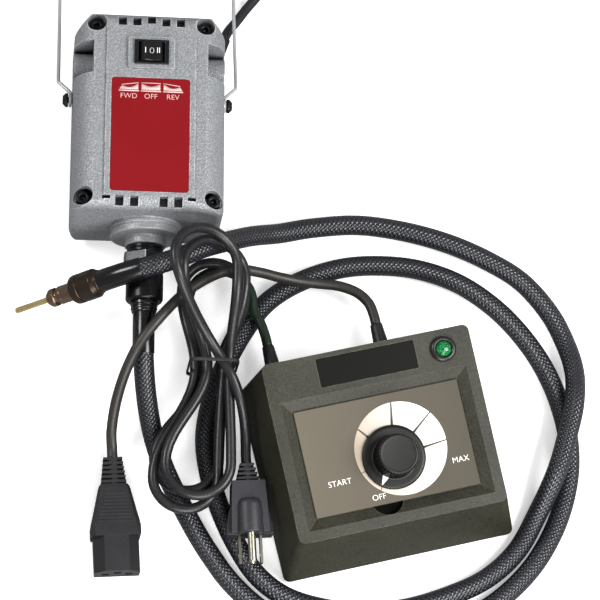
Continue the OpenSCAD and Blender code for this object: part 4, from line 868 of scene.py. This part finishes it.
for name, side, height, lean, lines in switchMarks(switchLook):
    where = frameAt(switchFrame, shift(side * switchLook["side"], 0, height), turn("Y", lean))
    dressPiece(stripPiece("rocker" + name, lines, switchLook["line"], where, 0), "panelInk", "rocker")

screwLook = {"head": 4.3, "height": 5, "socket": 1.75, "places": ((-33, 118), (33, 118), (-39, 7.5), (39, 7.5))}


def socketScrews(look):
    r, h, socket, knurl = look["head"], look["height"], look["socket"], waved(0.012, 36)
    rows = [(0, -1), (2, -1), (2, 0), (r, 0), (r, 0.5, knurl), (r, h - 1.0, knurl), (r - 0.25, h - 0.35), (r - 0.8, h),
            (socket * 1.25, h), (socket, h - 0.35, hexShape), (socket, h - 2.6, hexShape), (0, h - 3.2)]
    return joined("housingScrews", [turnedPiece("head", rows, frameAt(motorFrame, shift(x, -24, z), turn("X", 90)), 144)
                                    for x, z in look["places"]])


dressPiece(socketScrews(screwLook), "blackScrew", replaced=("shell_screws",))
print("housing, label and switch made")

# flange with its neck, washer, nut, sleeve and ring below the motor: radius and height
endRows = (
    ("endFlange", "end_flange", "flangeMetal", "machined", (0.3,), [
        (20.9, 0.9), (20.9, -1), (21.5, -1.2), (21.5, -3.2), (20.7, -3.4), (20.7, -4.0), (21.5, -4.2), (21.5, -7.4),
        (20.9, -8), (14.1, -8), (13, -8.3), (12.5, -9), (12.5, -13), (12, -13.5)]),
    ("lockWasher", "lock_washer", "blackSleeve", "screw_black", (0.15,), [
        (10.6, -13.5), (11, -13.9), (11, -15.2), (10.5, -15.5), (10.5, -15.9), (11, -16.2), (11, -17.6), (10.6, -18)]),
    ("hexNut", "hex_nut", "nutSteel", "machined", (0.3, 2, 24), [
        (11.7, -18), (12.75, -18.7, cutHex(1.13)), (12.5, -19.4, hexShape), (12.5, -24.4, hexShape),
        (12.2, -25.3, cutHex(1.09)), (11.2, -26)]),
    ("connectorSleeve", "connector_sleeve", "blackSleeve", "screw_black", (0.2,), [
        (10.7, -26), (11.3, -26.5), (11.3, -30), (10.95, -30.3), (10.95, -30.9), (11.3, -31.2), (11.3, -46.5),
        (10.8, -47.4), (10.1, -48)]),
    ("sheathRing", "sheath_ring", "hoseSleeve", "sheath", (0.15,), [
        (8.1, -48), (8.3, -48.3), (8.3, -50.2), (7.5, -50.6), (7.5, -51.4), (8, -51.6), (8, -52.8), (7.5, -53),
        (7.5, -54.4), (7, -55)]),
)
for name, nodeName, material, slot, bevel, rows in endRows:
    turnedPart(name, nodeName, material, rows, motorFrame, bevel)

# wire bail with formed eyes
bailLook = {"wire": 1.1, "arm": 54.9, "long": 104, "corner": 16, "eyeX": 47.4, "drop": 19.4154, "flat": 0.86,
            "eye": 3.3, "eyeWire": 1.1, "kink": 7, "kinkHigh": 3.5}
bailFrame = frameAt(motorFrame, shift(0, 0, 80), turn("X", -bailLook["drop"]))


def bailWire(look):
    a, long, corner, eye = look["arm"], look["long"], look["corner"], look["eyeX"]
    half = [(-eye, 0, 3.6), (-eye, 0, 6), (-a + 1, 0, 13.5), (-a, 0, 16), (-a, 0, 34), (-a, 0, 50), (-a, 0, 66),
            (-a, 0, long - corner - 6)]
    half += [(corner - a + corner * math.cos(deg(k)), 0, long - corner + corner * math.sin(deg(k)))
             for k in range(180, 89, -15)]
    half += [(-24, 0, long), (-11, 0, long), (-7.5, 0, long - 1.5)]
    lift = math.sin(deg(200))
    bump = [(look["kink"] * math.cos(deg(k)), 0, long - 1 + look["kinkHigh"] * (math.sin(deg(k)) - lift))
            for k in range(200, -21, -20)]
    route = half + bump + [(-x, y, z) for x, y, z in reversed(half)]
    wire, _ = tubePiece("bailWire", [bailFrame @ p for p in smoothLine(route, 1.5)], look["wire"])
    rows = [(look["eye"] + x, z) for x, z in circlePoints(look["eyeWire"], 12, look["wire"] * look["flat"])]
    eyes = [turnedPiece("eye", rows, frameAt(bailFrame, shift(side * eye, 0, 0), turn("Y", 90)), 48)
            for side in (-1, 1)]
    return joined("bailWire", [wire] + eyes)


dressPiece(bailWire(bailLook), "wire", "bail", ("bail",))

headRows = [(0, -1.6), (1.9, -1.6), (1.9, 0), (4.3, 0), (4.3, 1.3), (4.05, 1.8), (3.2, 2.7), (2.0, 3.25), (1.5, 3.35),
            (1.35, 3.1, hexShape), (1.35, 1.9, hexShape), (0, 1.7)]
bailHeads = [turnedPiece("head", headRows, frameAt(motorFrame, shift(side * 48.7, 0, 80), turn("Y", side * 90)), 96)
             for side in (-1, 1)]
dressPiece(joined("bailScrewHeads", bailHeads), "blackScrew")
print("connector and bail made")

# strain reliefs and ties
reliefLook = {"foot": 5.45, "tip": 3.9, "cord": 3.1, "ribs": 6, "collar": (5.5, 6), "long": 19.8, "groove": 0.75,
              "shares": (0.38, 0.46, 0.95)}


def ribbedRelief(name, where, look):
    wide, first = look["collar"]
    tip, long, groove, (low, high, end) = look["tip"], look["long"], look["groove"], look["shares"]
    rows = [(0, -1), (wide - 0.4, -1), (wide, -0.6), (wide, first - 0.4), (wide - 0.4, first)]
    pitch = (long - first) / look["ribs"]
    for k in range(look["ribs"]):
        z, r = first + k * pitch, mixed(look["foot"], tip, k / look["ribs"])
        rows += [(r - groove, z + 0.05), (r - groove, z + pitch * low), (r, z + pitch * high),
                 (r - 0.1, z + pitch * end)]
    rows += [(tip - 0.3, long - 0.2), (look["cord"] + 0.25, long), (0, long)]
    return addBevel(turnedPiece(name, rows, where, 48), 0.2, 2)


motorRelief = ribbedRelief("motorCordRelief", aimed(motorCordLook["reliefAt"], motorCordLook["reliefWay"]), reliefLook)
dressPiece(motorRelief, "plugRubber", "set", ("motor_cord_relief",))
glandLook = {"wall": 6.2, "long": 20, "foot": 5.4, "height": 17, "exits": ((-50, 3.1), (18.6, 3.2))}


def cordGlands(look):
    # plain tapered reliefs with a nut inside the wall
    parts, foot, end = [], look["foot"], look["wall"] + look["long"]
    for u, cord in look["exits"]:
        rows = [(0, 0.3), (4.3, 0.3), (4.3, 5.6), (foot + 0.75, 5.8), (foot + 0.8, 6.3), (foot + 0.5, 7.4),
                (foot - 0.2, 8.2)]
        rows += [(mixed(foot - 0.3, cord + 0.55, (k / 6) ** 0.8), mixed(9, end - 0.6, k / 6)) for k in range(7)]
        where = frameAt(caseFrame, shift(u, 55, look["height"]), turn("X", -90))
        parts.append(turnedPiece("gland", rows + [(cord + 0.2, end), (0, end)], where, 48))
    return joined("cordGlandPair", parts)


dressPiece(cordGlands(glandLook), "plugRubber", replaced=("cord_glands",))


# moulded plugs; in these frames local -X is up and local Y runs across
def outlineLoft(sections, where):
    # sections: height along Z and an outline of (up, across) points, the same number in each
    points = [where @ Vector((-up, across, z)) for z, outline in sections for up, across in outline]
    n, last = len(sections[0][1]), len(sections) - 1
    return closedPiece("loft", points, ringFaces(n, 0, last) + capFaces(n, last))


def boxOutline(up, down, width):
    return [(-down, -width / 2), (up, -width / 2), (up, width / 2), (-down, width / 2)]


def shoulderOutline(up, down, width, cutUp, cutAcross):
    # a block whose two upper corners are cut off
    half = width / 2
    return [(-down, -half), (up - cutUp, -half), (up, -half + cutAcross), (up, half - cutAcross), (up - cutUp, half),
            (-down, half)]


def loftRows(outline, rows, where):
    return outlineLoft([(z, outline(*row)) for z, *row in rows], where)


plateLook = {"share": 0.58, "spineIn": 0.15, "spineWide": 1.7, "coreGrows": 0.4}


def blockRelief(where, start, end, length, ribs, core, look=plateLook):
    # flat plates on a round core, tied by a spine above and below; start and end are width and thickness
    pitch = length / ribs
    parts = [turnedPiece("core", [(0, 0), (core, 0), (core + look["coreGrows"], length), (0, length)], where, 32)]
    for k in range(ribs):
        z, share = k * pitch, k / (ribs - 1)
        w, t = mixed(start[0], end[0], share), mixed(start[1], end[1], share) / 2
        parts.append(loftRows(boxOutline, [(z, t, t, w), (z + pitch * look["share"], t, t, w)], where))
    halves = ((0, start[1] / 2 - look["spineIn"]), (length, end[1] / 2 - look["spineIn"]))
    spine = [(z, half, half, look["spineWide"]) for z, half in halves]
    return joined("relief", parts + [loftRows(boxOutline, spine, where)])


connectorLook = {"half": 9.5, "width": 27.2, "cut": (6.2, 6.4), "from": 42, "front": 70, "grips": 9, "gripFrom": 22.5,
                 "gripPitch": 2.15, "gripLong": 1.3, "gripWide": (12.5, 22.5), "gripUp": (7.45, 9.5),
                 "gripIn": 0.5, "gripOut": 0.45, "gripEnd": 0.3, "relief": ((11.4, 9.6), (15, 12.4), 17, 6, 4.3),
                 "body": ((16.5, 6.4, 6.4, 16, 1.5, 1.5), (18, 6.8, 6.8, 18.4, 1.6, 1.6),
                          (20, 7.2, 7.2, 19.6, 1.6, 1.8), (36, 9.0, 9.0, 27, 1.8, 2.4),
                          (42, 9.6, 9.5, 30, 2, 2.6), (47.5, 9.7, 9.5, 30, 2, 2.6),
                          (48.5, 9.6, 9.4, 29.2, 2, 2.6)),
                 "slots": ((2, 7), (2, -7), (-2, 0)), "slotHigh": 1.8, "slotWide": 2.1, "slotLifts": (-0.02, 0.08)}
outletFrame = aimed(outletLook["end"], outletLook["endWay"])


def applianceConnector(look):
    half, cut = look["half"], look["cut"]
    parts = [blockRelief(outletFrame, *look["relief"]), loftRows(shoulderOutline, look["body"], outletFrame)]
    front = [(z, half, half, look["width"], *cut) for z in (look["from"], look["front"])]
    parts.append(loftRows(shoulderOutline, front, outletFrame))
    for side in (1, -1):
        for k in range(look["grips"]):
            z, share = look["gripFrom"] + look["gripPitch"] * k, k / (look["grips"] - 1)
            w, t = mixed(*look["gripWide"], share) / 2, mixed(*look["gripUp"], share) * side
            foot, top, end = t - look["gripIn"], t + look["gripOut"] * side, w - look["gripEnd"]
            bar = [(foot, -w), (top, -end), (top, end), (foot, w)]
            parts.append(outlineLoft([(z, bar), (z + look["gripLong"], bar)], outletFrame))
    return addBevel(joined("outletConnector", parts), 0.6, 3, 20)


# painted shade: thin dark plates on the connector's face where its slots are, standing for their shaded insides
def connectorSlotShades(look):
    high, wide, front = look["slotHigh"], look["slotWide"], look["front"]
    rims = [[(-x - high, y - wide), (-x + high, y - wide), (-x + high, y + wide), (-x - high, y + wide)]
            for x, y in look["slots"]]
    return joined("outletSlotShades", [outlineLoft([(front + lift, rim) for lift in look["slotLifts"]], outletFrame)
                                  for rim in rims])


outletPlug = dressPiece(applianceConnector(connectorLook), "plugRubber", "set", ("outlet_connector",))
outletSlotShades = dressPiece(connectorSlotShades(connectorLook), "slotShade", "set")

# mains plug: body and wing rows are height, up, down and width
plugLook = {"barrel": 8.3, "rise": 3.2, "face": 43, "relief": ((8.6, 8.4), (13.4, 12), 11.5, 4, 3.9),
            "body": ((11.2, 7.8, 7.6, 20), (27, 7.0, 8.6, 21.8), (42.4, 6.0, 9.6, 23)),
            "wings": ((24.5, 1.0, 8.0, 21.2), (30, 1.8, 9.4, 24.6), (37, 2.4, 10.4, 27.4), (43, 2.8, 11, 28))}
plugFrame = aimed(mainsLook["end"], mainsLook["endWay"])


def mainsPlugBody(look):
    r, face = look["barrel"], look["face"]
    rows = [(0, 21.6), (4.5, 21.7), (6.8, 22.6), (7.9, 24.2), (r, 26.5), (r, face - 0.6), (r - 0.5, face), (0, face)]
    barrel = turnedPiece("barrel", rows, frameAt(plugFrame, shift(-look["rise"], 0, 0)), 64)
    parts = [blockRelief(plugFrame, *look["relief"]), loftRows(boxOutline, look["body"], plugFrame),
             loftRows(boxOutline, look["wings"], plugFrame), barrel]
    return addBevel(joined("mainsPlugBody", parts), 0.9, 3, 30)


mainsPlug = dressPiece(mainsPlugBody(plugLook), "plugCharcoal", "set", ("mains_plug_body",))
print("plugs made")


# free end of the hose: sleeve, ferrule, snap connector and key tip
endLook = {"tipRings": 15, "tipOver": 0.55, "rootRings": 13, "rootOver": 0.45, "keyFlat": 0.72}


def keyFlat(angle):
    # two flats on a round tip
    return min(1, endLook["keyFlat"] / max(abs(math.cos(angle)), 0.001))


tipFrame = aimed(hoseLook["end"], hoseLook["tipWay"])
hoseRadius = cordSize["hose"] / 2
tipSleeve, _ = tubePiece("tipSleeve", hoseLine[-endLook["tipRings"]:], hoseRadius + endLook["tipOver"], 48)
rootSleeve, _ = tubePiece("rootSleeve", hoseLine[:endLook["rootRings"]], hoseRadius + endLook["rootOver"], 48)
for sleeve in (tipSleeve, rootSleeve):
    dressPiece(addBevel(sleeve, 0.3), "hoseSleeve", "set")
ferrule = turnedPart("ferrule", "sheath_ferrule", "ferruleDark", [
    (6.9, -1.5), (7.2, -0.9), (7.2, 0.2), (8.7, 2.2), (9, 2.8), (9, 11.2), (8.5, 11.6), (8.5, 12.6), (9, 13), (9, 16.6),
    (8.7, 17.6), (7.8, 18.7), (6.6, 19)], tipFrame, (0.2,))
snap = turnedPart("snapConnector", "snap_connector", "connectorBrown", [
    (5.65, 18.9), (5.65, 26.2), (5.5, 26.9), (5.65, 27.2), (5.65, 28.8), (5.2, 29.4), (4.2, 29.7), (4.05, 30.4),
    (4.2, 31.3), (5.2, 31.6), (5.65, 32.1), (5.65, 35.4), (5.2, 36.1), (4.8, 36.2), (3.9, 37.7), (3.4, 38)],
    tipFrame, (0.12,))
keyTip = turnedPart("keyTip", "key_tip", "tipBrass", [
    (1.8, 37.5), (1.8, 38.3), (1.8, 54.6), (1.8, 55.4, keyFlat), (1.8, 62.4, keyFlat), (1.35, 63.4, keyFlat)],
    tipFrame, (0.12, 2, 25), 64, "key_tip")

print("hose end made")

# ring, ticks and words of the dial: angles go round the knob's axis, places start at the middle of the face
dialLook = {"ringCentre": (8, -10.6), "axis": (2.5, -15), "ringRadius": 28, "inside": 17, "print": 0.06,
            "sides": 180, "ticks": (((130, 80, 38.5, 6.5), 18, 0.8, 0.35, 0), ((194.4, 236), 19, 0.25, 0.25, 0.6)),
            "tickThick": 0.05, "tickLift": 0.055,
            "wordSize": 4.9, "wordThin": -0.05, "wordThick": 0.08, "wordLift": -2.76, "pointer": 233.8,
            "words": (("START", -32.4, -23.4), ("OFF", -11.2, -36.4), ("MAX", 42.0, -24.4))}


def ringEdge(look, angle):
    # distance from the knob's axis to the outer edge of the printed ring
    cx, cy = (c - a for c, a in zip(look["ringCentre"], look["axis"]))
    along = cx * math.cos(angle) + cy * math.sin(angle)
    return along + math.sqrt(look["ringRadius"] ** 2 - (cx * cx + cy * cy - along * along))


def dialRing(look):
    points, faces, n = [], [], look["sides"]
    top = 2 * n
    for z in (0, look["print"]):
        for k in range(n):
            angle = 2 * math.pi * k / n
            for r in (look["inside"], ringEdge(look, angle)):
                points.append(dialFrame @ Vector((r * math.cos(angle), r * math.sin(angle), z)))
    for k in range(n):
        a, b = 2 * k, 2 * ((k + 1) % n)
        faces += [(a, b, b + 1, a + 1), (top + a, top + a + 1, top + b + 1, top + b),
                  (a + 1, b + 1, top + b + 1, top + a + 1), (a, top + a, top + b, b)]
    return closedPiece("dialRing", points, faces, smooth=False)


def dialTicks(look):
    # the first ticks narrow outward; the others keep their width and pass the edge
    ticks = []
    for angles, inner, wide, narrow, past in look["ticks"]:
        for angle in angles:
            edge = ringEdge(look, deg(angle)) + past
            outline = [(inner, -wide), (edge, -narrow), (edge, narrow), (inner, wide)]
            ticks.append(flatPiece("tick", outline, frameAt(dialFrame, turn("Z", angle)), look["tickThick"],
                                   look["tickLift"]))
    return joined("dialTicks", ticks)


dressPiece(dialRing(dialLook), "dialRing")
dressPiece(dialTicks(dialLook), "tickInk")
for words, u, v in dialLook["words"]:
    where = frameAt(faceFrame, shift(u, v, dialLook["wordLift"]))
    word = wordPiece("dialWord" + words.title(), words, dialLook["wordSize"], where, dialLook["wordThick"],
                     dialLook["wordThin"])
    dressPiece(word, "panelInk")

notchLook = {"at": (-6.5, -39), "radius": 9.3, "edge": -41.2, "floor": -6.1, "thick": 0.08, "steps": 24}


# painted shade: a thin dark half-disc laid in the notch so that it reads dark
def notchShadeDisc(look):
    (cu, cv), r = look["at"], look["radius"]
    first = math.asin((look["edge"] - cv) / r)
    arc = [math.pi - first + (math.pi + 2 * first) * k / look["steps"] for k in range(look["steps"] + 1)]
    outline = [(cu + r * math.cos(t), cv + r * math.sin(t)) for t in arc]
    return flatPiece("notchShadeDisc", outline, faceFrame, look["thick"], look["floor"])


dressPiece(notchShadeDisc(notchLook), "slotShade")

knobLook = {"skirt": 19.25, "grip": 12.4, "high": 18, "lift": 0.5, "flutes": 36, "fluteDepth": 0.045, "collarTop": 3,
            "pointer": ((12.9, 1.9), (18.4, 0.15)), "pointerThick": 0.12, "pointerLift": 2.62}
pointerFrame = frameAt(dialFrame, turn("Z", dialLook["pointer"]))


def makeKnob(look):
    skirt, grip, base, top = look["skirt"], look["grip"], look["lift"], look["lift"] + look["high"]

    def fluted(angle):
        return 1 - look["fluteDepth"] * max(0, math.cos(look["flutes"] * angle)) ** 2

    rows = [(0, base), (skirt - 0.4, base), (skirt, base + 0.3), (skirt, base + 1.3), (skirt - 0.6, base + 1.8),
            (skirt - 1.6, base + 2.1), (17, base + 2.2), (14, base + 2.0), (grip + 0.8, base + 2.0),
            (grip + 0.35, base + 2.4), (grip + 0.3, base + 3.4), (grip + 0.3, base + 3.8, fluted),
            (grip, top - 1.5, fluted), (grip - 0.25, top - 0.9, fluted), (grip - 0.7, top - 0.35), (grip - 1.4, top),
            (grip - 2.2, top), (grip - 2.4, top - 0.2), (0, top - 0.25)]
    return turnedPiece("dialKnob", rows, pointerFrame, 288)


knob = dressPiece(makeKnob(knobLook), "knobBlack", "dial", ("dial_knob",))
knob.modifiers.new("shading", "WEIGHTED_NORMAL")
# painted shade: the grip's side above the collar takes a darker copy of the knob's black
knob.data.materials.append(finish["knobShadedSide"])
dialAxis, fromDial = (dialFrame.to_3x3() @ Vector(alongZ)).normalized(), dialFrame.inverted()
for face in knob.data.polygons:
    if abs(face.normal.dot(dialAxis)) < 0.5 and (fromDial @ (face.center / mm)).z > knobLook["collarTop"]:
        face.material_index = 1
(inner, wide), (outer, narrow) = knobLook["pointer"]
pointer = flatPiece("knobPointer", [(inner, -wide), (outer, -narrow), (outer, narrow), (inner, wide)], pointerFrame,
                    knobLook["pointerThick"], knobLook["pointerLift"])
dressPiece(pointer, "panelInk", "dial")

pilotLook = {"across": 46, "fromTop": 12.2, "bezel": 7.75, "lens": 4.72}
pilotFrame = frameAt(faceFrame, shift(pilotLook["across"], faceLength / 2 - pilotLook["fromTop"], 0))


def makePilot(look):
    b, lens, facets = look["bezel"], look["lens"], waved(-0.02, 12, 1)
    bezelRows = [(lens + 0.05, -7), (lens + 0.9, -7), (lens + 0.9, -0.5), (b - 0.2, -0.1), (b, 0.2), (b, 1.5),
                 (b - 0.3, 2.0), (b - 1.1, 2.55), (b - 1.9, 2.75), (lens + 0.7, 2.6), (lens + 0.25, 2.2),
                 (lens + 0.05, 1.4), (lens + 0.05, -7)]
    lensRows = [(0, -6), (lens, -6), (lens, 1.6), (lens - 0.25, 2.5, facets), (lens - 0.9, 3.2, facets),
                (lens - 2.0, 3.8, facets), (lens - 3.2, 4.1, facets), (0, 4.2)]
    dressPiece(turnedPiece("pilotBezel", bezelRows, pilotFrame, 96), "bezelBlack", "set", ("pilot_bezel",))
    dressPiece(turnedPiece("pilotLens", lensRows, pilotFrame, 96), "pilotGreen", "set", ("pilot_lens",))


makePilot(pilotLook)
print("speed control made")

# nodes that keep their shapes: material, then edge width, segments and angle
plainNodes = {
    "front_housing": ("castSilver", 0.7, 3, 28), "rear_housing": ("castRear", 0.7, 3, 28), "label_plate": ("labelRed",),
    "switch_body": ("switchBlack", 0.35), "rocker": ("switchBlack", 0.5, 3, 20), "bail_screws": ("blackScrew",),
    "brush_caps": ("blackScrew", 0.3), "hank_tie": ("tieBlack", 0.5, 3), "coil_tie": ("tieBlack", 0.5, 3),
    "motor_plug_body": ("plugRubber", 0.5, 3), "motor_plug_pins": ("pinNickel", 0.25),
    "mains_plug_prongs": ("prongBrass", 0.2, 2, 40), "control_case": ("caseOlive", 0.55, 3, 24),
    "control_base": ("baseOlive", 0.4), "control_panel": ("panelTaupe", 0.25), "name_plate": ("plateBlack", 0.2),
    "rubber_feet": ("footRubber", 0.4), "base_screws": ("screwSteel", 0.1), "brush_holders": ("brass", 0.2),
    "carbon_brushes": ("carbon", 0.2), "brush_springs": ("screwSteel", 0.1), "field_core": ("laminations", 0.3),
    "field_coils": ("copper", 1.0), "armature_shaft": ("screwSteel", 0.2), "armature_core": ("laminations", 0.2),
    "armature_windings": ("copper", 1.0), "commutator": ("copper", 0.1), "cooling_fan": ("fanBlack", 0.2),
    "upper_bearing": ("bearing", 0.2), "lower_bearing": ("bearing", 0.2), "pot_shaft": ("screwSteel", 0.2),
    "pot_body": ("screwSteel", 0.3), "pot_nut": ("brass", 0.15), "circuit_board": ("board", 0.2),
    "power_triac": ("heatSink", 0.15),
}
for nodeName, (material, *softness) in plainNodes.items():
    if softness:
        soften(nodes[nodeName], *softness)
    for place in nodes[nodeName].material_slots:
        place.material = finish[material]
print("kept nodes dressed")

# table and light; a lamp's row is its name, power, size and place
stageLook = {"floor": 4.0, "below": -0.0002, "shade": "f7f7f6", "pale": "fdfdfd", "bounce": "8f8f8f", "mottle": 6,
             "world": 0.4, "glow": 0.4, "aim": (0, -0.05, 0),
             "lamps": (("frontLight", 18, 0.8, (0.15, -1.2, 0.75)), ("keyLight", 24, 0.7, (0.85, -0.3, 1.15)),
                       ("leftLight", 5, 0.3, (-0.8, 0.2, 0.8)))}


def makeTable(look):
    half = look["floor"] / 2
    mesh = bpy.data.meshes.new("tableTop")
    mesh.from_pydata([(x * half, y * half, look["below"]) for x, y in ((-1, -1), (1, -1), (1, 1), (-1, 1))], [],
                     [(0, 1, 2, 3)])
    floor = placed("tableTop", mesh)
    material, tree, shader = startMaterial("tablePaint", Roughness=0.7, Emission_Strength=look["glow"])
    # the table throws less light back than it shows
    seen = addNode(tree, "LightPath")["Is Camera Ray"]
    paint = blendColours(tree, addNoise(tree, look["mottle"]), look["shade"], look["pale"])
    feed(tree, shader["Base Color"], blendColours(tree, seen, look["bounce"], paint))
    feed(tree, shader["Emission Color"], blendColours(tree, seen, "000000", "ffffff"))
    mesh.materials.append(material)


def makeLight(look):
    world = bpy.data.worlds.new("paleRoom")
    world.use_nodes = True
    background = world.node_tree.nodes["Background"].inputs
    background["Color"].default_value = (1, 1, 1, 1)
    sky = addNode(world.node_tree, "LightPath")["Is Camera Ray"]
    feed(world.node_tree, background["Strength"], addRange(world.node_tree, sky, 0, 1, look["world"], 1.0))
    bpy.context.scene.world = world
    for name, power, size, place in look["lamps"]:
        data = bpy.data.lights.new(name, "AREA")
        data.energy = power
        data.size = size
        lamp = placed(name, data)
        lamp.location = place
        lamp.rotation_mode = "QUATERNION"
        lamp.rotation_quaternion = (Vector(place) - Vector(look["aim"])).to_track_quat("Z", "Y")
    bpy.context.scene.view_settings.view_transform = "Standard"


makeTable(stageLook)
makeLight(stageLook)
print("table and light made")
